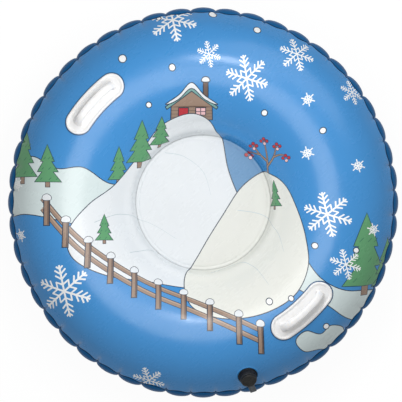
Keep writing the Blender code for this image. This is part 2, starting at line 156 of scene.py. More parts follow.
def bend_at(slope):
    """Radius of the section's own curve."""
    return (GAS_RADIUS**2 - CROWN_RADIUS**2) / (2 * radius_at(slope))


GROUND_OUTER = float(slope_at(CROWN_RADIUS + GROUND_WIDTH / 2))
GROUND_HEIGHT = float(height_at(GROUND_OUTER))
INNER_SIDE = SLOPES < 0
GROUND_INNER = float(np.interp(GROUND_HEIGHT, HEIGHTS[INNER_SIDE], SLOPES[INNER_SIDE]))
MID_HEIGHT = GROUND_HEIGHT + BOTTOM_FILM
HANDLE_RADIUS = CROWN_RADIUS + HANDLE_FROM_CROWN
VALVE_SLOPE = float(SEAM_AT_LOBE - VALVE_FROM_SEAM / bend_at(SEAM_AT_LOBE))


def lobe_share(azimuth):
    """0 in a crease between two lobes, 1 on a lobe's crest."""
    turn = (azimuth * LOBE_COUNT / math.tau + 0.5) % 1
    return 4 * turn * (1 - turn)


def ease(value):
    value = np.clip(value, 0, 1)
    return value * value * (3 - 2 * value)


def lobe_reach(slope, azimuth):
    """How far the film stands out at a lobe."""
    rise = ease((slope - LOBE_START) / (LOBE_FULL - LOBE_START))
    return LOBE_DEPTH * rise * lobe_share(azimuth) ** LOBE_FULLNESS


def seam_slope(azimuth):
    return PRINT_AT_CREASE + (PRINT_AT_LOBE - PRINT_AT_CREASE) * lobe_share(azimuth)


def seam_reach(azimuth):
    """Flat radius of the printed sheet's edge."""
    return SEAT_RADIUS + arc_at(seam_slope(azimuth))


def sway(azimuth, waves):
    """A gentle unevenness round the ring, from a few waves of its own."""
    return sum(share * np.sin(count * azimuth + phase) for count, share, phase in waves)


# Waves round the ring, each a count, a share and a phase
RIM_WAVES = ((7, 0.4, 0.3), (19, 0.35, 1.1), (31, 0.3, 2.7), (53, 0.25, 4.0))
WALL_WAVES = ((3, 0.5, 0.9), (5, 0.4, 2.2), (11, 0.25, 5.1))
PUCKER_WAVES = ((61, 0.5, 0.2), (83, 0.35, 3.4), (37, 0.4, 1.9))


def even_turns(count):
    """Even steps of a whole turn."""
    return np.arange(count) * math.tau / count


def about_axis(radius, azimuth, height):
    """Points at these radii, azimuths and heights."""
    return np.stack([radius * np.cos(azimuth), radius * np.sin(azimuth), height + 0 * azimuth], axis=-1)


def wrapped(angle):
    return (angle + math.pi) % math.tau - math.pi


def from_valve(flat, azimuth, radius):
    """Distance over the film from the valve's middle."""
    return np.hypot(wrapped(azimuth - VALVE_AZIMUTH) * radius, flat - SEAT_RADIUS - arc_at(VALVE_SLOPE))


def calm(flat, azimuth, radius):
    """0 under the handle pads and the valve's flange, where the film lies even, and 1 away from them."""
    straight = (HANDLE_LENGTH - HANDLE_WIDTH) / 2
    across = radius - HANDLE_RADIUS
    away = 1.0
    for middle in (-HANDLE_LEAN, math.pi + HANDLE_LEAN):
        along = np.abs(wrapped(azimuth - middle)) * HANDLE_RADIUS
        off = np.hypot(np.maximum(along - straight, 0), across) - HANDLE_WIDTH / 2
        away = away * ease((off - 0.002) / 0.02)
    return away * ease((from_valve(flat, azimuth, radius) - VALVE_FLANGE - 0.001) / 0.012)


def unevenness(flat, azimuth):
    """How far the blown-up film stands out of its even section: rim creases, slack and weld puckers."""
    radius = np.interp(flat, PROFILE[0], PROFILE[1])
    to_edge = seam_reach(azimuth) - flat
    inside, outside = np.maximum(to_edge, 0), np.maximum(-to_edge, 0)
    step = math.tau / LOBE_COUNT
    off = ((azimuth / step) % 1 - 0.5) * step * radius
    fold = np.exp(-((off / (CREASE_WIDTH + 0.10 * inside)) ** 2)) * np.exp(-inside / 0.017)
    depth = CREASE_DEPTH + 2 * CREASE_DEPTH * np.exp(-outside / 0.014)
    push = -depth * (1 + CREASE_SWAY * sway(azimuth, RIM_WAVES)) * fold
    push += LOBE_BULGE * lobe_share(azimuth) * np.sin(math.pi * np.clip(outside / 0.032, 0, 1)) ** 2
    halves = np.sin(LOBE_COUNT * azimuth / 2 + 3 * sway(azimuth, WALL_WAVES))
    push += PUCKER_HEIGHT * halves * ease((flat - 0.42) / 0.1) * np.exp(-inside / 0.05 - outside / 0.015)
    push += SLACK_HEIGHT * sway(azimuth, WALL_WAVES) * ease((flat - SEAT_RADIUS) / 0.1) * ease(inside / 0.06)
    from_weld = np.maximum(flat - SEAT_RADIUS, 0)
    push += PUCKER_HEIGHT * sway(azimuth, PUCKER_WAVES) * ease(from_weld / 0.006) * np.exp(-from_weld / 0.022)
    ripple = np.exp(-(((from_weld - RIPPLE_FROM_WELD) / RIPPLE_SPREAD) ** 2))
    push += RIPPLE_HEIGHT * ripple * (flat > SEAT_RADIUS)
    off = from_valve(flat, azimuth, radius) - VALVE_FLANGE - SWELL_FROM_FLANGE
    swell = np.exp(-((off / SWELL_SPREAD) ** 2))
    return push * calm(flat, azimuth, radius) + SWELL_HEIGHT * swell * ease((to_edge - 0.010) / 0.012)


def under_waves(slope, azimuth):
    """Slack and creases of the underside, none where the ring stands on the ground."""
    share = ease((slope - math.radians(30)) / 0.35) * ease((EQUATOR - slope) / 0.35)
    off = ((azimuth * LOBE_COUNT / math.tau) % 1 - 0.5) * math.tau / LOBE_COUNT * OUTER_RADIUS
    fold = np.exp(-((off / CREASE_WIDTH) ** 2)) * ease((slope - LOBE_START) / 0.4)
    waves = sway(azimuth, RIM_WAVES)
    return UNDER_SLACK * waves * share - CREASE_DEPTH * (1 + CREASE_SWAY * waves) * fold


def seat_sag(x, y):
    """Unevenness of the slack seat, which both of its layers share."""
    flat = np.hypot(x, y)
    return SLACK_HEIGHT * np.sin(23 * x + 1.1) * np.sin(19 * y + 0.4) * ease((SEAT_RADIUS - flat) / 0.05)


def smoothed_profile():
    """Radius, height and slope of the printed sheet along its flat radius, with the seat's weld rounded."""
    flat = np.linspace(0, SEAT_RADIUS + ARCS[-1], PROFILE_STEPS)
    slope = np.interp(flat - SEAT_RADIUS, ARCS, SLOPES)
    on_seat = flat < SEAT_RADIUS
    radius = np.where(on_seat, flat, radius_at(slope))
    height = np.where(on_seat, WELD_GAP / 2, height_at(slope))
    step = flat[1]
    reach = int(0.006 / step)
    kernel = np.exp(-((np.arange(-reach, reach + 1) * step / WELD_ROUNDING) ** 2))
    kernel /= kernel.sum()
    near = np.exp(-(((flat - SEAT_RADIUS) / 0.010) ** 4))
    for line in (radius, height):
        padded = np.pad(line, reach, mode="reflect", reflect_type="odd")
        line += (np.convolve(padded, kernel, "valid") - line) * near
    return flat, radius, height, -np.arctan2(np.gradient(height), np.gradient(radius))


PROFILE = smoothed_profile()


def top_points(flat_x, flat_y, lift):
    """Points of the printed sheet from their places on the flat picture, in the part's frame."""
    flat = np.hypot(flat_x, flat_y)
    azimuth = np.arctan2(flat_y, flat_x) + PICTURE_TURN
    radius, height, slope = (np.interp(flat, PROFILE[0], line) for line in PROFILE[1:])
    to_edge = seam_reach(azimuth) - flat
    push = unevenness(flat, azimuth) + lift
    push += LAP_LIFT * ease((SEAM_LAP - to_edge) / 0.0015) * calm(flat, azimuth, radius)
    weld = ease((flat - SEAT_RADIUS + SEAL_FROM) / 0.0015) * ease((SEAT_RADIUS - SEAL_TO - flat) / 0.0015)
    sag = seat_sag(flat * np.cos(azimuth), flat * np.sin(azimuth))
    height = height + push * np.cos(slope) + sag - SEAL_DEPTH * weld
    radius = radius + push * np.sin(slope) + lobe_reach(slope, azimuth)
    return about_axis(radius, azimuth, MID_HEIGHT + height)


def top_normals(flat_x, flat_y):
    step = 0.0004
    here = top_points(flat_x, flat_y, TOP_FILM)
    along = top_points(flat_x + step, flat_y, TOP_FILM) - here
    across = top_points(flat_x, flat_y + step, TOP_FILM) - here
    normals = np.cross(along, across)
    return normals / np.linalg.norm(normals, axis=1, keepdims=True)


def placed(name, data):
    """An object in the scene for this data."""
    obj = bpy.data.objects.new(name, data)
    bpy.context.scene.collection.objects.link(obj)
    return obj


def mesh_piece(name, points, faces, inks, materials, normals=None):
    """An object from points and faces, with a material number for each face and normals for each corner."""
    mesh = bpy.data.meshes.new(name)
    mesh.from_pydata([tuple(p) for p in points], [], faces)
    for material in materials:
        mesh.materials.append(material)
    mesh.polygons.foreach_set("material_index", np.asarray(inks, np.int32))
    mesh.shade_smooth()
    if normals is not None:
        mesh.normals_split_custom_set([tuple(n) for n in normals])
    return placed(name, mesh)


def closed_piece(name, points, faces, material, body, slot, node, sharp=50):
    """A closed solid with its faces pointing out, riding on a body in the place of a CAD node."""
    bm = bmesh.new()
    corners = [bm.verts.new(p) for p in points]
    for face in faces:
        bm.faces.new([corners[v] for v in face])
    bmesh.ops.recalc_face_normals(bm, faces=bm.faces)
    mesh = bpy.data.meshes.new(name)
    bm.to_mesh(mesh)
    bm.free()
    mesh.materials.append(material)
    mesh.shade_smooth()
    mesh.set_sharp_from_angle(angle=math.radians(sharp))
    obj = placed(name, mesh)
    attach(obj, body)
    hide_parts(node)


def fan(first, second):
    """Triangles between two closed rings of points, the second with a whole number of times as many."""
    count, more = len(first), len(second) // len(first)
    faces = []
    for i in range(count):
        near, far = first[i], first[(i + 1) % count]
        half = (more + 1) // 2
        line = [second[(more * i + k) % len(second)] for k in range(more + 1)]
        faces += [(near, line[k], line[k + 1]) for k in range(half)]
        faces.append((near, line[half], far))
        faces += [(far, line[k], line[k + 1]) for k in range(half, more)]
    return faces


def band(first, second):
    """Quads between two closed rings with as many points."""
    count = len(first)
    return [(first[i], first[(i + 1) % count], second[(i + 1) % count], second[i]) for i in range(count)]


def skinned(rows, ends="capped"):
    """Points and faces of a skin over rows of points, its ends capped, open or joined to each other."""
    points, rings = [], []
    for row in rows:
        rings.append(list(range(len(points), len(points) + len(row))))
        points += list(row)
    faces = [rings[0], rings[-1]] if ends == "capped" else []
    for first, second in zip(rings, rings[1:] + (rings[:1] if ends == "joined" else [])):
        faces += band(first, second)
    return points, faces


# The printed picture: outlines in printing order, each with its ink
PICTURE = []
FLAKE_TURN = math.radians(42)
FLAKES = (  # place seen from above, and reach
    (-0.079, 0.475, 0.063),
    (0.015, 0.388, 0.031),
    (0.114, 0.324, 0.055),
    (0.245, 0.388, 0.046),
    (0.388, 0.287, 0.034),
    (0.324, -0.031, 0.058),
    (0.373, -0.162, 0.039),
    (-0.363, -0.232, 0.068),
    (-0.142, -0.464, 0.042),
)
STARS = (
    (0.274, 0.269),
    (0.272, 0.129),
    (0.405, 0.096),
    (0.445, -0.071),
    (-0.484, 0.046),
    (-0.476, -0.086),
)
STAR_REACH = 0.017
DOTS = (
    (-0.211, 0.376, 0.0105),
    (-0.081, 0.353, 0.0084),
    (-0.142, 0.255, 0.0073),
    (0.025, 0.489, 0.0105),
    (0.141, 0.450, 0.0098),
    (0.160, 0.234, 0.0080),
    (0.313, 0.188, 0.0080),
    (0.292, -0.113, 0.0080),
    (0.400, -0.125, 0.0073),
    (0.173, -0.259, 0.0084),
    (0.230, -0.251, 0.0070),
    (0.321, -0.323, 0.0080),
    (-0.115, 0.477, 0.0060),
)


def anticlockwise(outline):
    points = np.asarray(outline, float)
    following = np.roll(points, -1, axis=0)
    twice_area = (points[:, 0] * following[:, 1] - following[:, 0] * points[:, 1]).sum()
    return points if twice_area > 0 else points[::-1]


def ink_shape(outline, ink):
    PICTURE.append((anticlockwise(outline), ink))


def through(points, spacing):
    """A smooth line from the second point to the last but one, without its end."""
    line = []
    for corners in zip(points, points[1:], points[2:], points[3:]):
        a, b, c, d = (np.array(p, float) for p in corners)
        steps = max(2, round(np.linalg.norm(c - b) / spacing))
        for t in np.arange(steps) / steps:
            curve = 2 * b + (c - a) * t + (2 * a - 5 * b + 4 * c - d) * t**2 + (3 * b - a - 3 * c + d) * t**3
            line.append(curve / 2)
    return line


def smooth_loop(points, spacing=0.007):
    """A smooth closed line through the points."""
    return through([points[-1], *points, *points[:2]], spacing)


def smooth_line(points, spacing=0.007):
    """A smooth open line through the points."""
    return [*through([points[0], *points, points[-1]], spacing), np.array(points[-1], float)]


def grown(outline, distance):
    """An anticlockwise outline moved out by the distance."""
    points = anticlockwise(outline)
    edges = np.roll(points, -1, axis=0) - points
    normals = np.stack([edges[:, 1], -edges[:, 0]], axis=1)
    normals /= np.linalg.norm(normals, axis=1, keepdims=True)
    before = np.roll(normals, 1, axis=0)
    reach = 1 + (normals * before).sum(axis=1, keepdims=True)
    return points + distance * (normals + before) / np.maximum(reach, 0.45)


def outlined(outline, ink, width=LINE_WIDTH):
    """A filled shape with a thin printed line round it."""
    ink_shape(grown(outline, width / 2), "line_ink")
    ink_shape(grown(outline, -width / 2), ink)


def stroke(points, width, ink, taper=1.0):
    """A drawn line of even or tapering width with blunt ends."""
    points = np.array(points, float)
    ways = np.gradient(points, axis=0)
    ways /= np.linalg.norm(ways, axis=1, keepdims=True)
    sides = np.stack([-ways[:, 1], ways[:, 0]], axis=1)
    half = width / 2 * np.linspace(1, taper, len(points))[:, None]
    ink_shape([*(points + sides * half), *(points - sides * half)[::-1]], ink)


def disc(centre, radius, steps=16):
    turn = even_turns(steps)
    return np.array(centre) + radius * np.stack([np.cos(turn), np.sin(turn)], axis=1)


def bar(start, end, width, ink):
    """A straight stroke with chamfered ends."""
    start, end = np.array(start, float), np.array(end, float)
    way = (end - start) / np.linalg.norm(end - start)
    side = np.array([-way[1], way[0]]) * width / 2
    nose = way * width / 3
    shape = [start - side * 0.6 - nose, start - side, end - side, end - side * 0.6 + nose]
    shape += [end + side * 0.6 + nose, end + side, start + side, start + side * 0.6 - nose]
    ink_shape(shape, ink)


def on_flat(x, y):
    """Place on the flat sheet of a point seen from above, and how much wider things are there."""
    radius = math.hypot(x, y)
    flat = SEAT_RADIUS + float(arc_at(slope_at(radius))) if radius > SEAT_RADIUS else radius
    return np.array([x, y]) * flat / radius, flat / radius


def arms(turn=0.0):
    """Angle, direction and side of each of a flake's six arms."""
    for arm in range(6):
        angle = FLAKE_TURN + turn + arm * math.tau / 6
        way = np.array([math.cos(angle), math.sin(angle)])
        yield angle, way, np.array([-way[1], way[0]])


def snowflake(x, y, reach):
    """Six arms with twigs, a forked tip and a ring of petals between the arms."""
    centre, wider = on_flat(x, y)
    reach *= wider
    width = 0.074 * reach
    for angle, way, side in arms():
        bar(centre, centre + way * reach, width, "flake_ink")
        for hand in (-1, 1):
            for start, out, across in ((0.47, 0.64, 0.20), (0.67, 0.84, 0.19), (0.87, 0.97, 0.11)):
                foot = centre + way * reach * start
                bar(foot, centre + (way * out + side * hand * across) * reach, width * 0.9, "flake_ink")
            middle = angle + hand * math.pi / 6
            apex = centre + 0.46 * reach * np.array([math.cos(middle), math.sin(middle)])
            bar(centre + way * reach * 0.26, apex, width * 0.85, "flake_ink")


def small_star(x, y):
    centre, wider = on_flat(x, y)
    reach = STAR_REACH * wider
    for _, way, side in arms(math.radians(3)):
        bar(centre, centre + way * reach, reach * 0.17, "flake_ink")
        for hand in (-1, 1):
            tip = centre + (way * 0.55 + side * hand * 0.25) * reach
            bar(centre + way * reach * 0.3, tip, reach * 0.13, "flake_ink")


def snow_dot(x, y, radius):
    centre, wider = on_flat(x, y)
    outlined(disc(centre, radius * wider), "flake_ink")


def fir(x, y, height):
    """A layered fir tree with a short trunk and a few needle strokes."""
    foot = np.array([x, y])
    width = height * 0.30
    trunk = ((-0.05, 0), (0.05, 0), (0.05, 0.16), (-0.05, 0.16))
    outlined(foot + height * np.array(trunk), "bark_ink", width=0.0016)
    tiers = ((0.12, 1.0), (0.36, 0.78), (0.60, 0.52))
    right = []
    for level, share in tiers:
        right += [(width * share, level * height), (width * share * 0.42, (level + 0.235) * height)]
    outline = [*right, (0, height)] + [(-a, b) for a, b in right[::-1]]
    outlined(foot + np.array(outline), "fir_ink", width=0.0018)
    for level, share in tiers:
        for hand in (-0.55, 0.1, 0.62):
            start = foot + (hand * width * share, (level + 0.05) * height)
            stroke([start, start + (0.16 * width, 0.05 * height)], 0.0019, "fir_shade_ink")


def rail_fence():
    """Two brown rails on posts, running down the left of the picture to its foot."""
    course = [(-0.47, -0.04), (-0.36, -0.17), (-0.20, -0.28), (-0.02, -0.355), (0.17, -0.43)]
    ground = smooth_line(course, 0.01)
    for rise in (0.022, 0.052):
        rail = [p + np.array([0, rise]) for p in ground]
        stroke(rail, 0.0150, "line_ink")
        stroke(rail, 0.0116, "bark_ink")
        stroke([p + np.array([0.0006, 0.0036]) for p in rail], 0.0026, "pale_bark_ink")
    post = ((-0.008, -0.012), (0.008, -0.012), (0.008, 0.068), (-0.008, 0.068))
    side = ((0.002, -0.010), (0.0068, -0.010), (0.0068, 0.066), (0.002, 0.066))
    cap = ((-0.012, 0.064), (0.0, 0.061), (0.012, 0.064), (0.011, 0.075), (0.0, 0.081), (-0.011, 0.075))
    for p in ground[3::8]:
        outlined(p + np.array(post), "bark_ink")
        ink_shape(p + np.array(side), "dark_bark_ink")
        outlined(smooth_loop([p + np.array(c) for c in cap], 0.004), "snow_ink", width=0.0016)


def cabin(x, y, size):
    """A log cabin with a snowy roof."""
    place = np.array([x, y])

    def at(*corners):
        return [place + size * np.array(c) for c in corners]

    outlined(at((0.28, 0.55), (0.40, 0.55), (0.40, 0.98), (0.28, 0.98)), "dark_bark_ink")
    chimney_snow = at((0.25, 0.95), (0.43, 0.95), (0.42, 1.03), (0.34, 1.06), (0.26, 1.03))
    outlined(smooth_loop(chimney_snow, 0.004), "snow_ink")
    outlined(at((-0.5, 0), (0.5, 0), (0.5, 0.45), (0, 0.82), (-0.5, 0.45)), "bark_ink")
    for level in (0.09, 0.18, 0.27, 0.36):
        stroke(at((-0.49, level), (0.49, level)), 0.0018, "dark_bark_ink")
    outlined(at((-0.32, 0), (-0.08, 0), (-0.08, 0.34), (-0.32, 0.34)), "berry_ink")
    outlined(at((0.10, 0.14), (0.34, 0.14), (0.34, 0.34), (0.10, 0.34)), "rose_ink")
    stroke(at((0.22, 0.14), (0.22, 0.34)), 0.0022, "line_ink")
    stroke(at((0.10, 0.24), (0.34, 0.24)), 0.0022, "line_ink")
    roof = at((-0.64, 0.36), (0, 0.84), (0.64, 0.36), (0.60, 0.30), (0, 0.74), (-0.60, 0.30))
    outlined(roof, "pine_ink")
    snow = at((-0.63, 0.43), (-0.3, 0.66), (0, 0.93), (0.3, 0.66), (0.63, 0.43))
    snow += at((0.5, 0.45), (0.3, 0.56), (0, 0.80), (-0.3, 0.56), (-0.5, 0.45))
    outlined(smooth_loop(snow, 0.006), "snow_ink")


def rowan(x, y, height):
    """A bare winter shrub with berries."""
    foot = np.array([x, y])
    twigs = [
        ((0, 0), (0.02, 0.45), (-0.04, 1.0)),
        ((0.01, 0.25), (0.22, 0.55), (0.32, 0.88)),
        ((0.01, 0.4), (-0.22, 0.62), (-0.34, 0.84)),
        ((0.2, 0.52), (0.40, 0.60), (0.56, 0.58)),
        ((-0.15, 0.57), (-0.42, 0.56), (-0.55, 0.50)),
    ]
    for twig in twigs:
        line = smooth_line([foot + height * np.array(p) for p in twig], 0.008)
        stroke(line, 0.0078, "line_ink", taper=0.55)
        stroke(line, 0.0052, "bark_ink", taper=0.5)
    for twig in twigs:
        end = foot + height * np.array(twig[-1])
        for k, (a, b) in enumerate(((0, 0), (0.010, -0.006), (-0.009, -0.008), (0.002, -0.015))):
            berry = disc(end + np.array([a, b]), 0.0052, 12)
            outlined(berry, "rose_ink" if k == 3 else "berry_ink", width=0.0014)


def pad_weld_shadow_lines():
    """Dark line round each handle's pad: its weld line, with painted contact shadow."""
    for middle in (-HANDLE_LEAN, math.pi + HANDLE_LEAN):
        length, width = capsule(-0.0031)
        azimuth = middle + length / HANDLE_RADIUS - PICTURE_TURN
        reach = SEAT_RADIUS + arc_at(slope_at(HANDLE_RADIUS + width))
        ink_shape(np.stack([reach * np.cos(azimuth), reach * np.sin(azimuth)], axis=1), "weld_and_shadow_ink")


def hill(ink, points):
    """A smooth outlined bank of snow."""
    outlined(smooth_loop(points), ink)


def draw_picture():
    hill("far_snow_ink", [
        (-0.66, 0.06), (-0.58, 0.115), (-0.50, 0.135), (-0.43, 0.10), (-0.36, 0.105), (-0.29, 0.06),
        (-0.20, 0.04), (-0.16, -0.04), (-0.28, -0.10), (-0.40, -0.06), (-0.52, -0.035), (-0.66, -0.05),
    ])
    hill("far_snow_ink", [
        (0.20, -0.05), (0.265, -0.10), (0.31, -0.17), (0.35, -0.225), (0.41, -0.255), (0.50, -0.262),
        (0.66, -0.29), (0.66, -0.40), (0.52, -0.375), (0.43, -0.345), (0.355, -0.295), (0.20, -0.20),
    ])
    fir(-0.535, 0.055, 0.17)
    fir(-0.455, 0.045, 0.125)
    fir(0.478, -0.275, 0.245)
    fir(0.555, -0.275, 0.17)
    fir(-0.255, 0.055, 0.115)
    cabin(-0.035, 0.245, 0.125)
    hill("snow_ink", [
        (-0.385, -0.165), (-0.40, -0.085), (-0.345, -0.005), (-0.265, 0.055), (-0.19, 0.135),
        (-0.13, 0.225), (-0.045, 0.268), (0.015, 0.245), (0.048, 0.175), (0.066, 0.085), (0.10, 0.0),
        (0.15, -0.10), (0.10, -0.235), (-0.03, -0.255), (-0.17, -0.24), (-0.29, -0.22),
    ])
    fir(-0.185, 0.10, 0.15)
    fir(-0.125, 0.155, 0.105)
    rowan(0.185, 0.075, 0.115)
    hill("cream_snow_ink", [
        (-0.035, -0.315), (-0.055, -0.225), (-0.005, -0.125), (0.05, -0.035), (0.105, 0.045),
        (0.175, 0.085), (0.24, 0.055), (0.28, -0.01), (0.31, -0.10), (0.315, -0.195), (0.27, -0.28),
        (0.175, -0.335), (0.06, -0.35),
    ])
    for points in (
        ((-0.33, -0.06), (-0.25, -0.035), (-0.15, -0.05), (-0.07, -0.095)),
        ((-0.10, 0.13), (-0.05, 0.12), (0.0, 0.08), (0.02, 0.02)),
        ((-0.22, -0.15), (-0.12, -0.135), (-0.06, -0.17)),
        ((0.09, -0.02), (0.16, -0.035), (0.22, -0.09), (0.245, -0.15)),
        ((0.02, -0.20), (0.09, -0.17), (0.15, -0.19), (0.20, -0.25)),
    ):
        stroke(smooth_line(points), 0.0019, "drift_ink", taper=0.4)
    fir(0.205, -0.02, 0.085)
    fir(-0.30, -0.125, 0.09)
    rail_fence()
    hill("far_snow_ink", [
        (0.27, -0.405), (0.30, -0.375), (0.345, -0.385), (0.375, -0.36), (0.42, -0.375), (0.43, -0.42),
        (0.40, -0.45), (0.35, -0.44), (0.30, -0.44),
    ])
    for x, y, reach in FLAKES:
        snowflake(x, y, reach)
    for x, y in STARS:
        small_star(x, y)
    for x, y, radius in DOTS:
        snow_dot(x, y, radius)
    pad_weld_shadow_lines()


# Finishes
NUMBER = "NodeSocketFloat"


def new_group(name, inputs, outputs):
    """An empty node group with sockets for its inputs (name, kind, value) and outputs (name, kind)."""
    tree = bpy.data.node_groups.new(name, "ShaderNodeTree")
    for label, kind, value in inputs:
        tree.interface.new_socket(name=label, in_out="INPUT", socket_type=kind).default_value = value
    for label, kind in outputs:
        tree.interface.new_socket(name=label, in_out="OUTPUT", socket_type=kind)
    return tree, tree.nodes.new("NodeGroupInput").outputs, tree.nodes.new("NodeGroupOutput").inputs


def feed(tree, socket, value):
    """Sets a socket to a number, or links it to another socket."""
    if isinstance(value, (int, float)):
        socket.default_value = value
    else:
        tree.links.new(value, socket)


def math_node(tree, operation, *values):
    node = tree.nodes.new("ShaderNodeMath")
    node.operation = operation
    for socket, value in zip(node.inputs, values):
        feed(tree, socket, value)
    return node.outputs[0]


def noise(tree, scale, detail=2.0, stretch=None):
    """Even noise from 0 to 1 over the object's own coordinates, in metres."""
    place = tree.nodes.new("ShaderNodeTexCoord").outputs["Object"]
    if stretch:
        mapping = tree.nodes.new("ShaderNodeMapping")
        mapping.inputs["Scale"].default_value = stretch
        tree.links.new(place, mapping.inputs["Vector"])
        place = mapping.outputs["Vector"]
    node = tree.nodes.new("ShaderNodeTexNoise")
    node.inputs["Detail"].default_value = detail
    tree.links.new(place, node.inputs["Vector"])
    feed(tree, node.inputs["Scale"], scale)
    return node.outputs["Fac"]


def span(tree, value, low, high):
    """A 0 to 1 value spread from low to high."""
    node = tree.nodes.new("ShaderNodeMapRange")
    tree.links.new(value, node.inputs["Value"])
    feed(tree, node.inputs["To Min"], low)
    feed(tree, node.inputs["To Max"], high)
    return node.outputs["Result"]


def film_surface_group():
    """Soft film: cloudy gloss, and a height of long slack waves with fine grain."""
    tree, inner, outer = new_group(
        "film_surface",
        [("Gloss", NUMBER, 0.34), ("Smear", NUMBER, 0.10), ("Slack", NUMBER, 1.0)],
        [("Roughness", NUMBER), ("Height", NUMBER)],
    )
    smears = span(tree, noise(tree, 14.0, 3.0), -1.0, 1.0)
    scuffs = span(tree, noise(tree, 160.0, 2.0, (1.0, 0.25, 1.0)), -0.35, 0.35)
    spread = math_node(tree, "MULTIPLY", math_node(tree, "ADD", smears, scuffs), inner["Smear"])
    tree.links.new(math_node(tree, "ADD", inner["Gloss"], spread), outer["Roughness"])
    waves = math_node(tree, "MULTIPLY", noise(tree, 22.0, 1.0), inner["Slack"])
    grain = math_node(tree, "MULTIPLY", noise(tree, 1400.0, 1.0), 0.012)
    tree.links.new(math_node(tree, "ADD", waves, grain), outer["Height"])
    return tree


def seal_shade(tree):
    """Painted shade: darker in the crease of the heat seal round the seat, where less light falls."""
    place = tree.nodes.new("ShaderNodeTexCoord").outputs["Object"]
    level = tree.nodes.new("ShaderNodeVectorMath")
    level.operation = "MULTIPLY"
    level.inputs[1].default_value = (1, 1, 0)
    reach = tree.nodes.new("ShaderNodeVectorMath")
    reach.operation = "LENGTH"
    tree.links.new(place, level.inputs[0])
    tree.links.new(level.outputs[0], reach.inputs[0])
    off = math_node(tree, "SUBTRACT", reach.outputs["Value"], SEAT_RADIUS + SEAL_WIDTH / 2)
    crease = tree.nodes.new("ShaderNodeMapRange")
    crease.interpolation_type = "SMOOTHSTEP"
    crease.inputs["From Max"].default_value = SEAL_WIDTH
    crease.inputs["To Min"].default_value = 0.66
    tree.links.new(math_node(tree, "ABSOLUTE", off), crease.inputs["Value"])
    return crease.outputs["Result"]


def printed_tone_group():
    """Ink on film: clouded where the film is stretched, with the fine screen of the print and painted shade
    in the crease of the seat's seal.
    """
    tree, inner, outer = new_group(
        "printed_tone",
        [("Ink", "NodeSocketColor", (0.5, 0.5, 0.5, 1)), ("Cloud", NUMBER, 0.08)],
        [("Color", "NodeSocketColor")],
    )
    cloud = span(tree, noise(tree, 6.0, 3.0), math_node(tree, "SUBTRACT", 1.0, inner["Cloud"]), 1.03)
    screen = span(tree, noise(tree, 900.0, 2.0), 0.985, 1.015)
    shade = math_node(tree, "MULTIPLY", math_node(tree, "MULTIPLY", cloud, screen), seal_shade(tree))
    scale = tree.nodes.new("ShaderNodeVectorMath")
    scale.operation = "SCALE"
    tree.links.new(inner["Ink"], scale.inputs[0])
    tree.links.new(shade, scale.inputs["Scale"])
    tree.links.new(scale.outputs[0], outer["Color"])
    return tree


def moulded_grain_group():
    """Moulded vinyl or plastic: pebbled height, uneven gloss and a mask of rubbed places."""
    tree, inner, outer = new_group(
        "moulded_grain",
        [("Gloss", NUMBER, 0.4), ("Grain", NUMBER, 1800.0), ("Depth", NUMBER, 0.1)],
        [("Roughness", NUMBER), ("Height", NUMBER), ("Rubbed", NUMBER)],
    )
    pebbles = noise(tree, inner["Grain"], 2.0)
    handling = noise(tree, 70.0, 4.0)
    uneven = math_node(tree, "ADD", span(tree, handling, -0.09, 0.09), span(tree, pebbles, -0.05, 0.05))
    tree.links.new(math_node(tree, "ADD", inner["Gloss"], uneven), outer["Roughness"])
    tree.links.new(math_node(tree, "MULTIPLY", pebbles, inner["Depth"]), outer["Height"])
    rubbed = tree.nodes.new("ShaderNodeMapRange")
    rubbed.interpolation_type = "SMOOTHSTEP"
    rubbed.inputs["From Min"].default_value = 0.52
    rubbed.inputs["From Max"].default_value = 0.72
    tree.links.new(handling, rubbed.inputs["Value"])
    tree.links.new(rubbed.outputs["Result"], outer["Rubbed"])
    return tree


FILM_SURFACE = film_surface_group()
PRINTED_TONE = printed_tone_group()
MOULDED_GRAIN = moulded_grain_group()
BUMP_METRES = 0.001


def new_finish(name, colour, specular=0.5):
    material = bpy.data.materials.new(name)
    material.use_nodes = True
    material.diffuse_color = (*colour, 1)
    tree = material.node_tree
    shader = tree.nodes["Principled BSDF"]
    shader.inputs["Base Color"].default_value = (*colour, 1)
    shader.inputs["Specular IOR Level"].default_value = specular
    return material, tree, shader


def placed_group(tree, group, **values):
    node = tree.nodes.new("ShaderNodeGroup")
    node.node_tree = group
    for label, value in values.items():
        node.inputs[label].default_value = value
    return node.outputs


def bumped(tree, shader, height, strength):
    bump = tree.nodes.new("ShaderNodeBump")
    bump.inputs["Strength"].default_value = strength
    bump.inputs["Distance"].default_value = BUMP_METRES
    tree.links.new(height, bump.inputs["Height"])
    tree.links.new(bump.outputs["Normal"], shader.inputs["Normal"])


def film_finish(name, ink, gloss=0.27, cloud=0.05, specular=0.5, slack=0.45):
    """Printed or plain film in one ink."""
    material, tree, shader = new_finish(name, ink, specular)
    tone = placed_group(tree, PRINTED_TONE, Ink=(*ink, 1), Cloud=cloud)
    surface = placed_group(tree, FILM_SURFACE, Gloss=gloss, Slack=slack)
    tree.links.new(tone["Color"], shader.inputs["Base Color"])
    tree.links.new(surface["Roughness"], shader.inputs["Roughness"])
    bumped(tree, shader, surface["Height"], 0.35)
    return material


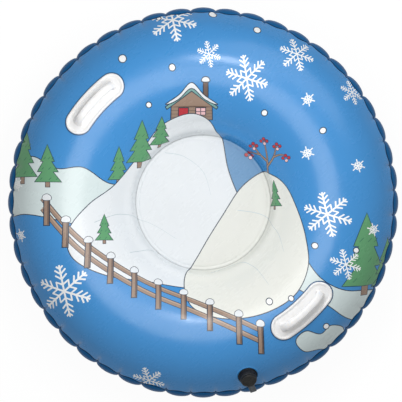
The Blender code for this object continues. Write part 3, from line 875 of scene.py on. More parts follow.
def moulded_finish(name, colour, rubbed, gloss, grain=1800.0, depth=0.1, specular=0.5, milky=0.0):
    """Moulded vinyl or plastic, a little changed where hands rub it; milky lets light through it."""
    material, tree, shader = new_finish(name, colour, specular)
    shader.inputs["Subsurface Weight"].default_value = milky
    shader.inputs["Subsurface Radius"].default_value = (1.0, 0.95, 0.88)
    shader.inputs["Subsurface Scale"].default_value = 0.002
    surface = placed_group(tree, MOULDED_GRAIN, Gloss=gloss, Grain=grain, Depth=depth)
    mix = tree.nodes.new("ShaderNodeMix")
    mix.data_type = "RGBA"
    mix.inputs["A"].default_value = (*colour, 1)
    mix.inputs["B"].default_value = (*rubbed, 1)
    tree.links.new(surface["Rubbed"], mix.inputs["Factor"])
    tree.links.new(mix.outputs["Result"], shader.inputs["Base Color"])
    tree.links.new(surface["Roughness"], shader.inputs["Roughness"])
    bumped(tree, shader, surface["Height"], 0.6)
    return material


# Inks by name, as linear colours
INK_COLOURS = {
    "sky_ink": (0.047, 0.270, 0.625),
    # Painted shade: the seat's inks are darker, duller copies, for the seat lying deep inside the ring
    "seat_shaded_sky_ink": (0.080, 0.245, 0.460),
    "line_ink": (0.012, 0.030, 0.060),
    # A weld line, and painted shadow where the print's edge steps onto the navy and round the handle pads
    "weld_and_shadow_ink": (0.012, 0.075, 0.190),
    "snow_ink": (0.80, 0.835, 0.86),
    "seat_shaded_snow_ink": (0.70, 0.735, 0.76),
    "flake_ink": (0.95, 0.97, 0.98),
    "cream_snow_ink": (0.82, 0.83, 0.775),
    "seat_shaded_cream_ink": (0.70, 0.71, 0.665),
    "far_snow_ink": (0.68, 0.78, 0.78),
    "drift_ink": (0.50, 0.58, 0.61),
    "fir_ink": (0.115, 0.350, 0.160),
    "fir_shade_ink": (0.040, 0.180, 0.095),
    "pine_ink": (0.210, 0.400, 0.370),
    "bark_ink": (0.340, 0.235, 0.175),
    "pale_bark_ink": (0.500, 0.370, 0.280),
    "dark_bark_ink": (0.155, 0.105, 0.085),
    "berry_ink": (0.520, 0.030, 0.045),
    "rose_ink": (0.900, 0.560, 0.580),
}
INK_NAMES = list(INK_COLOURS)
INKS = [film_finish(name, colour) for name, colour in INK_COLOURS.items()]
NAVY_FILM = film_finish("navy_film", (0.006, 0.120, 0.330), gloss=0.36, cloud=0.16, specular=0.07, slack=1.0)
# Painted shadow: darker navy for the lap just below the print's edge, partly the weld's own line
NAVY_WELD_AND_SHADOW = film_finish("navy_weld_and_shadow", (0.006, 0.045, 0.125), gloss=0.50, cloud=0.16, specular=0.04)
PAD_VINYL = moulded_finish(
    "pad_vinyl", (0.92, 0.915, 0.91), (0.90, 0.89, 0.87), 0.42, 900.0, 0.16, milky=0.3
)
GRIP_VINYL = moulded_finish(
    "grip_vinyl", (0.96, 0.955, 0.95), (0.93, 0.92, 0.90), 0.36, 900.0, 0.12, milky=0.3
)
VALVE_VINYL = moulded_finish("valve_vinyl", (0.010, 0.012, 0.016), (0.024, 0.026, 0.030), 0.46, specular=0.18)
SEAL_RUBBER = moulded_finish("seal_rubber", (0.020, 0.020, 0.022), (0.045, 0.045, 0.045), 0.72)
INSERT_PLASTIC = moulded_finish(
    "insert_plastic", (0.016, 0.018, 0.021), (0.030, 0.031, 0.034), 0.36, specular=0.3
)
FLAP_SILICONE = moulded_finish("flap_silicone", (0.62, 0.62, 0.60), (0.55, 0.55, 0.52), 0.50)
TETHER_VINYL = moulded_finish("tether_vinyl", (0.034, 0.037, 0.041), (0.060, 0.062, 0.064), 0.40)
CAP_VINYL = moulded_finish("cap_vinyl", (0.018, 0.018, 0.016), (0.040, 0.037, 0.032), 0.44, specular=0.35)
# Painted highlight: the strap is of the cap's vinyl but coloured lighter, for the light its flat end catches
LIT_STRAP_VINYL = moulded_finish("lit_strap_vinyl", (0.080, 0.092, 0.106), (0.120, 0.135, 0.150), 0.34)


# Printed sheet
RIM_STEPS = 768  # 16 to each lobe
HOLE_STEPS = 48
SWELL_STEPS = 80
SEAL_STEPS = 384
NEAR_STEPS, FAR_STEPS = 320, 192  # of the rings near the seat and beyond
NEAR_REACH = 0.06
RINGS_END = 0.508
EDGE_LINE = 0.0011  # width of the dark line along the print's edge, a weld line with painted shadow under the edge
RING_STEP = 0.009
SEAT_GRID = 0.010
SEAL_OFFSETS = (-0.010, -0.0085, -0.0073, -0.0037, -0.0025, -0.0012, 0, 0.0012, 0.0025, 0.0038, 0.005, 0.007)
SWELL_OFFSETS = (-0.001, 0.0005, 0.0014, 0.0022, 0.003, 0.0038, 0.0047, 0.006, 0.008)
EDGE_INSETS = (0.003, 0.0062, 0.0075, 0.0085, 0.0115, 0.016, 0.021, 0.028, 0.036, 0.045)
# Painted shade: on the seat the sky, snow and cream inks give way to darker copies
SEAT_SHADED_INKS = {"sky_ink": "seat_shaded_sky_ink", "snow_ink": "seat_shaded_snow_ink", "cream_snow_ink": "seat_shaded_cream_ink"}


def printed_sheet():
    """The printed film, cut along the outlines of its picture and laid over the ring."""
    turn = even_turns(RIM_STEPS)
    edge = seam_reach(turn + PICTURE_TURN)
    hole_reach = SEAT_RADIUS + float(arc_at(VALVE_SLOPE))
    wider = hole_reach / float(radius_at(VALVE_SLOPE))
    hole_turn = even_turns(HOLE_STEPS)
    out = np.array([math.cos(VALVE_AZIMUTH - PICTURE_TURN), math.sin(VALVE_AZIMUTH - PICTURE_TURN)])
    across = np.array([-out[1], out[0]]) * wider
    hole = out * hole_reach + VALVE_HOLE * np.cos(hole_turn)[:, None] * out
    hole = hole + VALVE_HOLE * np.sin(hole_turn)[:, None] * across
    ways = np.stack([np.cos(turn), np.sin(turn)], axis=1)
    outlines = [(edge[:, None] * ways, "weld_and_shadow_ink"), ((edge - EDGE_LINE)[:, None] * ways, "sky_ink")]
    outlines += PICTURE + [(hole, "sky_ink")]
    coords, faces = [], []
    for outline, _ in outlines:
        faces.append(list(range(len(coords), len(coords) + len(outline))))
        coords += [tuple(p) for p in outline]
    grid = np.arange(-17, 18) * SEAT_GRID
    coords += [(x, y) for x in grid for y in grid if math.hypot(x, y) < SEAT_RADIUS - 0.012]
    rings = [(SEAT_RADIUS + offset, SEAL_STEPS) for offset in SEAL_OFFSETS]
    for reach in np.arange(SEAT_RADIUS + RING_STEP, RINGS_END, RING_STEP):
        rings.append((reach, NEAR_STEPS if reach < SEAT_RADIUS + NEAR_REACH else FAR_STEPS))
    for reach, count in rings:
        at = (np.arange(count) + 0.5) * math.tau / count
        coords += [(reach * math.cos(a), reach * math.sin(a)) for a in at]
    for reach in VALVE_FLANGE + np.array(SWELL_OFFSETS):
        at = (np.arange(SWELL_STEPS) + 0.5) * math.tau / SWELL_STEPS
        coords += [tuple((hole_reach + reach * math.cos(a)) * out + reach * math.sin(a) * across) for a in at]
    for inset in EDGE_INSETS:
        step = 1 if inset < 0.02 else 2
        for a, e in zip(turn[::step], edge[::step]):
            coords.append(((e - inset) * math.cos(a), (e - inset) * math.sin(a)))
    cut = geometry.delaunay_2d_cdt([Vector(c) for c in coords], [], faces, 0, 1e-6)
    flat, triangles, owners = cut[0], cut[2], cut[5]
    hole_face = len(outlines) - 1
    kept, inks = [], []
    for triangle, owner in zip(triangles, owners):
        if 0 in owner and hole_face not in owner:
            kept.append(tuple(triangle))
            ink = outlines[max(owner) if 1 in owner else 0][1]
            on_seat = sum(flat[v].length for v in triangle) < 3 * SEAT_RADIUS
            # triangles on the seat take the painted-shade copies of their inks
            inks.append(INK_NAMES.index(SEAT_SHADED_INKS.get(ink, ink) if on_seat else ink))
    used = sorted({v for triangle in kept for v in triangle})
    number = {v: i for i, v in enumerate(used)}
    kept = [tuple(number[v] for v in triangle) for triangle in kept]
    flat = np.array([flat[v][:] for v in used])
    outer = top_points(flat[:, 0], flat[:, 1], TOP_FILM)
    normals = top_normals(flat[:, 0], flat[:, 1])
    inner = outer - normals * TOP_FILM
    sides = {(a, b) for t in kept for a, b in ((t[0], t[1]), (t[1], t[2]), (t[2], t[0]))}
    rim = sorted((a, b) for a, b in sides if (b, a) not in sides)
    count = len(used)
    points = np.concatenate([outer, inner])
    faces = kept + [tuple(count + v for v in reversed(t)) for t in kept]
    faces += [(b, a, a + count, b + count) for a, b in rim]
    corners = [normals[v] for t in kept for v in t] + [-normals[v] for t in kept for v in reversed(t)]
    for a, b in rim:
        way = np.cross(points[a] - points[b], points[a + count] - points[a])
        corners += [way / max(np.linalg.norm(way), 1e-12)] * 4
    obj = mesh_piece("printed_sheet", points, faces, inks + inks + [0] * len(rim), INKS, corners)
    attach(obj, "tube")
    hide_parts("top_sheet")


# Plain sheet
SEAT_STEPS = 96


def plain_stations():
    """Rings of the plain sheet from the seat's middle out under the ring and up to the lap."""
    seat = (*np.arange(1, 17) * SEAT_GRID, 0.1665, 0.1715, SEAT_RADIUS)
    stations = [(SEAT_STEPS, "seat", reach, 0) for reach in seat]
    inner = SLOPES[0] * (1 - np.linspace(0, 1, 15)[1:])
    stations += [(SEAT_STEPS, "under", float(slope), 0) for slope in inner if slope < GROUND_INNER]
    stations += [(SEAT_STEPS, "ground", slope, 0) for slope in (GROUND_INNER, 0.0, GROUND_OUTER)]
    outer = ((SEAT_STEPS, (9, 14, 20, 26, 32)), (2 * SEAT_STEPS, (38, 44, 50)), (RIM_STEPS, range(54, 91, 4)))
    for count, slopes in outer:
        stations += [(count, "under", float(slope), 0) for slope in np.radians(slopes)]
    stations += [(RIM_STEPS, "over", share, 0) for share in (0.14, 0.28, 0.42, 0.56, 0.70, 0.82)]
    joggle = ((0.0048, 0), (WELD_REACH, -0.12), (0.0032, -0.45), (0.0020, -0.85), (0.0008, -1), (-0.004, -1))
    return stations + [(RIM_STEPS, "lap", distance, tuck) for distance, tuck in (*joggle, (-SEAM_LAP, -1))]


def plain_ring(count, kind, where, tuck, lift):
    """Points of one ring of the plain sheet."""
    azimuth = even_turns(count)
    shift = tuck * (WELD_GAP + BOTTOM_FILM) + lift
    if kind == "seat":
        mitre = lift * math.tan(-SLOPES[0] / 2) if where >= SEAT_RADIUS else 0
        radius = np.full(count, float(where)) - mitre
        x, y = radius * np.cos(azimuth), radius * np.sin(azimuth)
        return np.stack([x, y, MID_HEIGHT - WELD_GAP / 2 - lift + seat_sag(x, y)], axis=1)
    if kind == "ground":
        radius = np.full(count, float(radius_at(where)))
        height = np.full(count, MID_HEIGHT - GROUND_HEIGHT - lift)
    else:
        if kind == "under":
            slope = np.full(count, float(where))
            push = under_waves(slope, azimuth)
        else:
            seam = seam_slope(azimuth)
            slope = EQUATOR + (seam - EQUATOR) * where if kind == "over" else seam + where / bend_at(seam)
            push = unevenness(SEAT_RADIUS + arc_at(slope), azimuth)
        radius = radius_at(slope) + (shift + push) * np.sin(slope) + lobe_reach(slope, azimuth)
        rise = height_at(slope) + (shift + push) * np.cos(slope)
        height = MID_HEIGHT + (-1 if kind == "under" else 1) * rise
    return about_axis(radius, azimuth, height)


def plain_sheet():
    """The thicker navy film: seat's underside, ground ring, lobed rim and the lap under the print."""
    points, faces, finishes, layers = [], [], [], []
    for lift in (0, BOTTOM_FILM):
        middle = len(points)
        points.append((0, 0, MID_HEIGHT - WELD_GAP / 2 - lift + float(seat_sag(0.0, 0.0))))
        rings = []
        for count, kind, where, tuck in plain_stations():
            rings.append(list(range(len(points), len(points) + count)))
            points += [tuple(p) for p in plain_ring(count, kind, where, tuck, lift)]
        made = [(middle, rings[0][(i + 1) % SEAT_STEPS], rings[0][i]) for i in range(SEAT_STEPS)]
        finishes += [0] * len(made)
        for first, second, station in zip(rings, rings[1:], plain_stations()[1:]):
            between = fan(first, second)
            made += [face[::-1] for face in between]
            # the lap's first few millimetres take the darker navy, a weld line with painted shadow
            finishes += [int(station[1] == "lap" and station[2] < WELD_REACH)] * len(between)
        faces += made if lift else [face[::-1] for face in made]
        layers.append(rings[-1])
    faces += fan(layers[0], layers[1])
    finishes += [1] * (len(faces) - len(finishes))
    obj = mesh_piece("plain_sheet", points, faces, finishes, [NAVY_FILM, NAVY_WELD_AND_SHADOW])
    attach(obj, "tube")
    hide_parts("bottom_sheet")


# Handles
END_STEPS = 24
SIDE_STEPS = 26
DIP_DEPTH = 0.0009  # of the trough before each foot of the grip
DIP_FROM_FOOT = 0.0135
DIP_LENGTH = 0.006
DIP_WIDTH = 0.013
FOOT_SPREAD = 0.30
FOOT_HEIGHT = 0.0035
GRIP_ROUNDNESS = 0.85


def film_place(radius, azimuth, lift):
    """Points over the printed film at these radii seen from above, lifted square to it."""
    slope = slope_at(radius)
    out = radius_at(slope) + (TOP_FILM + lift) * np.sin(slope)
    height = MID_HEIGHT + height_at(slope) + (TOP_FILM + lift) * np.cos(slope)
    return about_axis(out, azimuth, height)


def capsule(inset):
    """Outline of a handle's pad, moved in by the inset, as lengths and widths."""
    radius = HANDLE_WIDTH / 2 - inset
    straight = (HANDLE_LENGTH - HANDLE_WIDTH) / 2
    turn = np.arange(END_STEPS) * math.pi / END_STEPS - math.pi / 2
    line = np.arange(SIDE_STEPS) / SIDE_STEPS * 2 - 1
    length = np.concatenate([straight + radius * np.cos(turn), -straight * line])
    width = np.concatenate([radius * np.sin(turn), np.full(SIDE_STEPS, radius)])
    return np.append(length, -length), np.append(width, -width)


def pad_rings():
    """Inset and lift of each outline of the pad, from the middle of its underside round to its trough."""
    floor = WELD_GAP + PAD_FLOOR
    half = RIM_WIDTH / 2
    base = floor - 0.0004
    rings = [(0.031, WELD_GAP), (0.016, WELD_GAP), (0.0008, WELD_GAP), (0.0001, WELD_GAP + 0.0004)]
    for turn in np.linspace(0, 0.5, 9) * math.pi:
        rings.append((half * (1 - math.cos(turn)), base + (RIM_HEIGHT + WELD_GAP - base) * math.sin(turn)))
    for share in np.linspace(0, 1, 11)[1:]:
        low = floor - 0.0006
        across = half + share * (RIM_WIDTH + 0.0020 - half)
        rings.append((across, low + (RIM_HEIGHT + WELD_GAP - low) * (1 - ease(share))))
    return rings + [(inset, low) for inset in (0.0115, 0.0135, 0.017, 0.021, 0.026, 0.031)]


def handle_pad(side, middle):
    """The oval pad with its rolled rim, its trough and a dip before each foot of the grip."""
    rows = []
    for number, (inset, lift) in enumerate(pad_rings()):
        length, width = capsule(inset)
        off = np.abs(length) - GRIP_SPAN / 2 - DIP_FROM_FOOT
        dip = np.exp(-((off / DIP_LENGTH) ** 2) - (width / DIP_WIDTH) ** 2)
        lifts = lift - DIP_DEPTH * dip * float(ease((inset - RIM_WIDTH) / 0.004)) * (number > 4)
        rows.append(film_place(HANDLE_RADIUS + width, middle + length / HANDLE_RADIUS, lifts))
    points, faces = skinned(rows, "open")
    half = END_STEPS + SIDE_STEPS
    for ring in (list(range(2 * half)), list(range(len(points) - 2 * half, len(points)))):
        faces += [ring[: END_STEPS + 1], ring[half : half + END_STEPS + 1]]
        upper, lower = ring[END_STEPS : half + 1], [ring[-k] for k in range(SIDE_STEPS + 1)]
        faces += [(upper[k], upper[k + 1], lower[k + 1], lower[k]) for k in range(SIDE_STEPS)]
    closed_piece(f"{side}_pad", points, faces, PAD_VINYL, "tube", "handle_vinyl", f"{side}_handle_pad")


def handle_grip(side, middle, around=32, bend_steps=16, middle_steps=14):
    """The arched grip, flattened where the hand goes and spread at its two feet."""
    foot = WELD_GAP + PAD_FLOOR - 0.0004
    top = PAD_FLOOR + GRIP_CLEARANCE + GRIP_THICKNESS / 2 + WELD_GAP
    path = []
    for turn in np.linspace(0, math.pi / 2, bend_steps + 1):
        along = GRIP_SPAN / 2 - GRIP_BEND * (1 - math.cos(turn))
        way = math.atan2((top - foot) * math.cos(turn), GRIP_BEND * math.sin(turn))
        path.append((-along, foot + (top - foot) * math.sin(turn), way))
    start = GRIP_SPAN / 2 - GRIP_BEND
    path += [(start * (2 * i / middle_steps - 1), top, 0) for i in range(1, middle_steps)]
    path += [(-u, h, -way) for u, h, way in path[bend_steps::-1]]
    slope = float(slope_at(HANDLE_RADIUS))
    rows = []
    turn = even_turns(around)
    for u, h, way in path:
        spread = 1 + FOOT_SPREAD * math.exp(-(((h - foot) / FOOT_HEIGHT) ** 2))
        square = np.abs(np.cos(turn)) ** GRIP_ROUNDNESS * np.sign(np.cos(turn))
        across = GRIP_WIDTH / 2 * square * spread
        up = GRIP_THICKNESS / 2 * np.sin(turn) * spread
        azimuth = middle + (u - up * math.sin(way)) / HANDLE_RADIUS
        lift = TOP_FILM + h + up * math.cos(way)
        radius = float(radius_at(slope)) + lift * math.sin(slope) + across * math.cos(slope)
        height = MID_HEIGHT + float(height_at(slope)) + lift * math.cos(slope) - across * math.sin(slope)
        rows.append(about_axis(radius, azimuth, height))
    closed_piece(f"{side}_grip", *skinned(rows), GRIP_VINYL, "tube", "grip_vinyl", f"{side}_handle_grip")


# Valve, heights counted outwards from the film
VALVE_TURN = math.radians(6)
FLANGE_THICKNESS = 0.0012
COLLAR_RADIUS = 0.023
COLLAR_BORE = 0.0187
COLLAR_HEIGHT = 0.0095
THROAT_DEPTH = 0.012
SHOULDER_BASE = 0.0115
SHOULDER_RADIUS = 0.0225
NECK_BASE = 0.0130
NECK_RADIUS = 0.0186
HEAD_BASE = 0.0152
HEAD_RADIUS = 0.0200
HEAD_TOP = 0.0166
BARREL_RADIUS = 0.0177
VALVE_BORE = 0.0155
GRID_BASE = -0.0100
GRID_TOP = -0.0080
HUB_RADIUS = 0.0036
HUB_BORE = 0.0017
CAP_BASE = 0.0169
CAP_TOP = 0.0206
CAP_RADIUS = 0.0205
PLUG_DEPTH = 0.0044
GRIP_PITCH = 0.0035
DISH_BARS_RADIUS = 0.0160
CENTRE_RADIUS = 0.0002  # left open at a lathed body's axis
STRAP_WIDTH = 0.017
STRAP_THICKNESS = 0.0016
STRAP_REACH = 0.046
STRAP_LIP = 0.0023
FOLD_HEIGHT = 0.0159
SOFT_EDGE = 0.0005
CORNER = 0.0003
GRID_CORNER = 0.0002
VALVE_STEPS = 120
RIB_COUNT = 40
THREAD_RISE = 0.0006
THREAD_FADE = 18
RING_HALF = 0.0006
STRAP_RIBS = 7


def valve_matrix():
    """Valve frame: X down the film's slope along the strap, Z out along the valve's axis."""
    out = Vector((math.cos(VALVE_AZIMUTH), math.sin(VALVE_AZIMUTH), 0))
    up = Vector((0, 0, 1))
    axis = out * math.sin(VALVE_SLOPE) + up * math.cos(VALVE_SLOPE)
    downhill = out * math.cos(VALVE_SLOPE) - up * math.sin(VALVE_SLOPE)
    turn = Matrix((downhill, axis.cross(downhill), axis)).transposed().to_4x4()
    place = film_place(np.array(radius_at(VALVE_SLOPE)), np.array(VALVE_AZIMUTH), 0.0)
    return Matrix.Translation(place) @ turn @ Matrix.Rotation(VALVE_TURN, 4, "Z")


VALVE = valve_matrix()


def in_valve(points):
    return [VALVE @ Vector(p) for p in points]


def lathe(profile, around=VALVE_STEPS, ribs=0, depth=0.0):
    """Points and faces turned from a closed outline of radius, height and rib share."""
    turn = even_turns(around)
    rows = []
    for radius, height, share in profile:
        wave = (0.5 + 0.5 * np.cos(ribs * turn)) ** 0.6 if ribs else 0 * turn
        reach = radius - depth * share * (1 - wave)
        rows.append(about_axis(reach, turn, height))
    return skinned(rows, "joined")


def rounded(corners, radius, steps=3):
    """A closed outline with its corners rounded; each corner is radius, height and rib share."""
    outline = []
    for before, here, after in zip(corners[-1:] + corners[:-1], corners, corners[1:] + corners[:1]):
        place = np.array(here[:2])
        back, ahead = np.array(before[:2]) - place, np.array(after[:2]) - place
        cut = min(radius, 0.45 * np.linalg.norm(back), 0.45 * np.linalg.norm(ahead))
        start, end = place + back / np.linalg.norm(back) * cut, place + ahead / np.linalg.norm(ahead) * cut
        for t in np.linspace(0, 1, steps + 1):
            point = (1 - t) ** 2 * start + 2 * t * (1 - t) * place + t**2 * end
            outline.append((point[0], point[1], here[2]))
    return outline


def joined(*parts):
    """Several bodies' points and faces as one."""
    points, faces = [], []
    for more_points, more_faces in parts:
        faces += [tuple(len(points) + v for v in face) for face in more_faces]
        points += list(more_points)
    return points, faces


def slab(reaches, levels, half):
    """A strap body along X from stations of reach, low and high, with soft long edges."""
    rows = []
    for reach, low, high in zip(reaches, *levels):
        soft = min(SOFT_EDGE, (high - low) * 0.4)
        lower = [(-half, low + soft), (-half + soft, low), (half - soft, low), (half, low + soft)]
        upper = [(half, high - soft), (half - soft, high), (-half + soft, high), (-half, high - soft)]
        rows.append([(reach, across, height) for across, height in lower + upper])
    return skinned(rows)


def collar():
    """The ribbed collar and throat, and the weld flange bent to the film with a raised bead."""
    wall = [(COLLAR_RADIUS, -THROAT_DEPTH, 0), (COLLAR_BORE, -THROAT_DEPTH, 0)]
    wall += [(COLLAR_BORE, COLLAR_HEIGHT, 0), (COLLAR_RADIUS - 0.0006, COLLAR_HEIGHT, 0)]
    wall += [(COLLAR_RADIUS, COLLAR_HEIGHT - 0.0010, 0.4), (COLLAR_RADIUS, COLLAR_HEIGHT - 0.0016, 1)]
    wall += [(COLLAR_RADIUS, 0.0042, 1), (COLLAR_RADIUS - 0.0001, 0.0036, 0)]
    wall = rounded(wall, CORNER)
    turn = even_turns(VALVE_STEPS)
    top = WELD_GAP + FLANGE_THICKNESS
    inside = (COLLAR_RADIUS + COLLAR_BORE) / 2
    outline = [
        (inside, WELD_GAP), (VALVE_FLANGE - 0.0003, WELD_GAP), (VALVE_FLANGE, WELD_GAP + 0.0003),
        (VALVE_FLANGE, top - 0.0007), (VALVE_FLANGE - 0.0004, top - 0.0001), (VALVE_FLANGE - 0.0010, top),
        (VALVE_FLANGE - 0.0016, top - 0.0005), (COLLAR_RADIUS + 0.0004, top - 0.0004),
        (COLLAR_RADIUS - 0.0004, top + 0.0012), (inside, top + 0.0012),
    ]
    rows = []
    for reach, lift in outline:
        slope = VALVE_SLOPE + reach * np.cos(turn) / bend_at(VALVE_SLOPE)
        azimuth = VALVE_AZIMUTH + reach * np.sin(turn) / radius_at(slope)
        rows.append(film_place(radius_at(slope), azimuth, lift))
    wall_points, wall_faces = lathe(wall, ribs=RIB_COUNT, depth=0.0006)
    both = joined(skinned(rows, "joined"), (in_valve(wall_points), wall_faces))
    closed_piece("valve_collar", *both, VALVE_VINYL, "tube", "valve_vinyl", "valve_base", sharp=35)


def screw_unit():
    """The insert: threaded barrel, gripped shoulder, neck and head, and the grid with its hub."""
    outline = [(HEAD_RADIUS, HEAD_TOP, 0), (HEAD_RADIUS, HEAD_BASE, 0)]
    outline += [(NECK_RADIUS, HEAD_BASE, 0), (NECK_RADIUS, NECK_BASE, 0)]
    outline += [(SHOULDER_RADIUS, NECK_BASE, 1), (SHOULDER_RADIUS, SHOULDER_BASE, 1)]
    outline += [(BARREL_RADIUS, SHOULDER_BASE, 0), (BARREL_RADIUS, GRID_BASE, 0)]
    outline += [(VALVE_BORE, GRID_BASE, 0), (VALVE_BORE, HEAD_TOP, 0)]
    body = lathe(rounded(outline, CORNER), ribs=RIB_COUNT, depth=0.0007)
    return joined(body, thread(), *grid_parts())


def valve_piece(name, shape, material, body, slot, node):
    """A closed piece of the valve from points in the valve's frame."""
    points, faces = shape
    closed_piece(name, in_valve(points), faces, material, body, slot, node, sharp=35)


def thread(turns=4.5, pitch=0.003, steps=72):
    """A low helical ridge on the barrel."""
    rows = []
    count = int(turns * steps)
    for k in range(count + 1):
        angle, height = k * math.tau / steps, GRID_TOP + 0.0012 + pitch * k / steps
        rise = THREAD_RISE * min(1, k / THREAD_FADE, (count - k) / THREAD_FADE) + 0.00005
        row = []
        for reach, off in ((-0.0004, -0.0008), (rise, -0.0003), (rise, 0.0003), (-0.0004, 0.0008)):
            radius = BARREL_RADIUS + reach
            row.append((radius * math.cos(angle), radius * math.sin(angle), height + off))
        rows.append(row)
    return skinned(rows)


def tube_wall(outside, inside, top, base, radius):
    """The rounded outline of a plain ring."""
    return rounded([(outside, top, 0), (outside, base, 0), (inside, base, 0), (inside, top, 0)], radius)


def grid_parts():
    """The four bars, the hub and the ring that back the flap."""
    parts = []
    for quarter in range(4):
        spin = Matrix.Rotation(math.pi / 4 + math.pi / 2 * quarter, 3, "Z")
        reaches = (HUB_BORE + 0.0006, 0.006, 0.011, (BARREL_RADIUS + VALVE_BORE) / 2)
        levels = ([GRID_BASE] * 4, [GRID_TOP] * 4)
        points, faces = slab(reaches, levels, 0.0011)
        parts.append(([spin @ Vector(p) for p in points], faces))
    hub = tube_wall(HUB_RADIUS, HUB_BORE, GRID_TOP, GRID_BASE, GRID_CORNER)
    middle, top, base = (VALVE_BORE + HUB_RADIUS) / 2, GRID_TOP - GRID_CORNER, GRID_BASE + GRID_CORNER
    ring = tube_wall(middle + RING_HALF, middle - RING_HALF, top, base, GRID_CORNER)
    return parts + [lathe(hub, around=40), lathe(ring, around=64)]


def strap_ribs(start, end, low, high, count, rib, up):
    """Stations of a strap whose outer face carries cross ribs."""
    reaches, lows, highs = [start], [low], [high]
    for k in range(count):
        middle = start + (end - start) * (k + 1) / (count + 1)
        for off, share in ((-0.0010, 0), (-0.0005, 1), (0.0005, 1), (0.0010, 0)):
            reaches.append(middle + off)
            lows.append(low - (0 if up else rib * share))
            highs.append(high + (rib * share if up else 0))
    return reaches + [end], lows + [low], highs + [high]


def tether():
    """The strap's ring round the neck, and its lower half out to the fold."""
    low, high = NECK_BASE + WELD_GAP, HEAD_BASE - WELD_GAP
    outside, inside = SHOULDER_RADIUS - 0.0008, NECK_RADIUS + WELD_GAP
    ring = lathe(tube_wall(outside, inside, high, low, CORNER))
    end = STRAP_REACH - WELD_GAP
    start, stop = (inside + outside) / 2, end - STRAP_LIP - 0.0008
    reaches, lows, highs = strap_ribs(start, stop, low, high, STRAP_RIBS, 0.0004, False)
    reaches += [end - STRAP_LIP, end - STRAP_LIP + 0.0004, end - 0.0008, end]
    lows += [low, low, low, low + 0.0006]
    highs += [high, FOLD_HEIGHT - 0.0003, FOLD_HEIGHT - WELD_GAP / 2, FOLD_HEIGHT - WELD_GAP / 2 - 0.0003]
    both = joined(ring, slab(reaches, (lows, highs), STRAP_WIDTH / 2))
    valve_piece("strap_lower", both, TETHER_VINYL, "insert", "tether_vinyl", "cap_tether")


def lid():
    """The gripped cap with its plug, and the bars across its dish."""
    plug = VALVE_BORE - WELD_GAP
    dish = CAP_TOP - 0.0009
    outline = [(CENTRE_RADIUS, dish, 0), (0.0166, dish, 0)]
    outline += [(0.0175, CAP_TOP, 0), (CAP_RADIUS - 0.0009, CAP_TOP, 0)]
    outline += [(CAP_RADIUS - 0.0002, CAP_TOP - 0.0006, 0.7), (CAP_RADIUS, CAP_TOP - 0.0012, 1)]
    outline += [(CAP_RADIUS, CAP_BASE + 0.0006, 1), (CAP_RADIUS - 0.0006, CAP_BASE, 0.3)]
    outline += [(plug, CAP_BASE, 0), (plug - 0.0001, CAP_BASE - 0.0012, 0)]
    outline += [(plug + 0.0001, CAP_BASE - 0.0017, 0)]
    outline += [(plug - 0.0003, CAP_BASE - 0.0023, 0), (plug - 0.0008, CAP_BASE - PLUG_DEPTH, 0)]
    outline += [(plug - 0.0024, CAP_BASE - PLUG_DEPTH, 0), (plug - 0.0020, CAP_BASE - 0.0003, 0)]
    outline += [(CENTRE_RADIUS, CAP_BASE - 0.0003, 0)]
    parts = [lathe(outline, around=160, ribs=RIB_COUNT, depth=0.0008)]
    for k in range(-4, 5):
        across = k * GRIP_PITCH
        half = math.sqrt(DISH_BARS_RADIUS**2 - across**2)
        reaches = (-half, -half + 0.0006, half - 0.0006, half)
        levels = ([dish - 0.0004] * 4, (dish + 0.0002, CAP_TOP - 0.0001, CAP_TOP - 0.0001, dish + 0.0002))
        points, faces = slab(reaches, levels, 0.0009)
        parts.append(([(x, y + across, z) for x, y, z in points], faces))
    valve_piece("cap_lid", joined(*parts), CAP_VINYL, "cap", "cap_vinyl", "valve_cap")


def strap():
    """The upper half of the cap's strap, ribbed, with the lip that stands on the fold."""
    top = CAP_BASE + STRAP_THICKNESS
    lip = FOLD_HEIGHT + WELD_GAP / 2
    start, stop = CAP_RADIUS - 0.0015, STRAP_REACH - STRAP_LIP - 0.0006
    reaches, lows, highs = strap_ribs(start, stop, CAP_BASE, top, STRAP_RIBS, 0.0006, True)
    reaches += [STRAP_REACH - STRAP_LIP, STRAP_REACH - STRAP_LIP + 0.0004, STRAP_REACH - 0.0006, STRAP_REACH]
    lows += [CAP_BASE, lip + 0.0003, lip, lip + 0.0003]
    highs += [top, top, top, top - 0.0008]
    shape = slab(reaches, (lows, highs), STRAP_WIDTH / 2)
    valve_piece("cap_strap", shape, LIT_STRAP_VINYL, "cap", "cap_vinyl", "valve_cap")


def valve():
    collar()
    valve_piece("screw_unit", screw_unit(), INSERT_PLASTIC, "insert", "insert_plastic", "valve_insert")
    tether()
    lid()
    strap()
    for node, material in (("valve_seal", SEAL_RUBBER), ("valve_flap", FLAP_SILICONE)):
        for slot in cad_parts[node].material_slots:
            slot.material = material


# Studio
def glowing(name, radiance, radius, place, target):
    """A round softbox that gives this radiance towards the target."""
    data = bpy.data.lights.new(name, "AREA")
    data.shape = "DISK"
    data.size = 2 * radius
    data.energy = radiance * math.pi * math.pi * radius**2
    obj = placed(name, data)
    obj.location = place
    obj.rotation_euler = (Vector(target) - Vector(place)).to_track_quat("-Z", "Y").to_euler()
    obj.visible_camera = False


def shown_only(tree, mirrored=0.3):
    """1 for rays from the camera, less for reflected ones, 0 for those that carry light."""
    path = tree.nodes.new("ShaderNodeLightPath").outputs
    reflected = math_node(tree, "MULTIPLY", path["Is Glossy Ray"], mirrored)
    return math_node(tree, "MAXIMUM", path["Is Camera Ray"], reflected)


def white_room(fill):
    world = bpy.data.worlds.new("white_room")
    world.use_nodes = True
    tree = world.node_tree
    background = tree.nodes["Background"]
    background.inputs["Color"].default_value = (1, 1, 1, 1)
    tree.links.new(span(tree, shown_only(tree), fill, 1.0), background.inputs["Strength"])
    bpy.context.scene.world = world


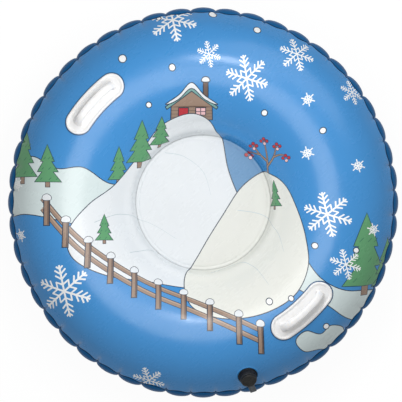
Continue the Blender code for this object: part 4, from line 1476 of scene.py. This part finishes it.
def studio_floor(reach=6.0, keep=0.09, drop=0.0003, glow_strength=1.05, grey=0.70):
    """A pale floor that shows white and keeps a faint shadow."""
    bm = bmesh.new()
    bmesh.ops.create_circle(bm, cap_ends=True, radius=reach, segments=64)
    mesh = bpy.data.meshes.new("studio_floor")
    bm.to_mesh(mesh)
    bm.free()
    obj = placed("studio_floor", mesh)
    obj.location.z = -drop
    material = bpy.data.materials.new("pale_floor")
    material.use_nodes = True
    tree = material.node_tree
    tree.nodes.remove(tree.nodes["Principled BSDF"])
    paint = tree.nodes.new("ShaderNodeBsdfDiffuse")
    paint.inputs["Color"].default_value = (grey, grey, grey, 1)
    glow = tree.nodes.new("ShaderNodeEmission")
    glow.inputs["Strength"].default_value = glow_strength
    mix = tree.nodes.new("ShaderNodeMixShader")
    tree.links.new(math_node(tree, "MULTIPLY", shown_only(tree), 1 - keep), mix.inputs[0])
    tree.links.new(paint.outputs[0], mix.inputs[1])
    tree.links.new(glow.outputs[0], mix.inputs[2])
    tree.links.new(mix.outputs[0], tree.nodes["Material Output"].inputs["Surface"])
    mesh.materials.append(material)


def overhead_camera(middle, width, height=2.4):
    data = bpy.data.cameras.new("overhead_camera")
    data.type = "ORTHO"
    data.ortho_scale = width
    data.clip_end = 20
    obj = placed("overhead_camera", data)
    obj.location = (*middle, height)
    obj.rotation_euler = (0, 0, PICTURE_TURN)
    bpy.context.scene.camera = obj


def towards(azimuth, reach, height):
    """A place over the floor, by its direction from the tube's centre in degrees."""
    turn = math.radians(azimuth)
    return Vector((reach * math.cos(turn), reach * math.sin(turn), height))


draw_picture()
printed_sheet()
plain_sheet()
for side, middle in (("right", -HANDLE_LEAN), ("left", math.pi + HANDLE_LEAN)):
    handle_pad(side, middle)
    handle_grip(side, middle)
valve()

white_room(0.405)
studio_floor()
glowing("overhead_softbox", 3.5, 0.35, towards(225, 0.08, 1.15), (0, 0, 0))
glowing("key_softbox", 1.64, 0.70, towards(102, 1.35, 1.45), (0, 0, 0.12))
glowing("small_softbox", 31.0, 0.095, towards(127, 0.58, 1.40), (0, 0, 0.2))
overhead_camera((-0.00674, -0.0013), 1.0506)
bpy.context.scene.view_settings.view_transform = "Standard"
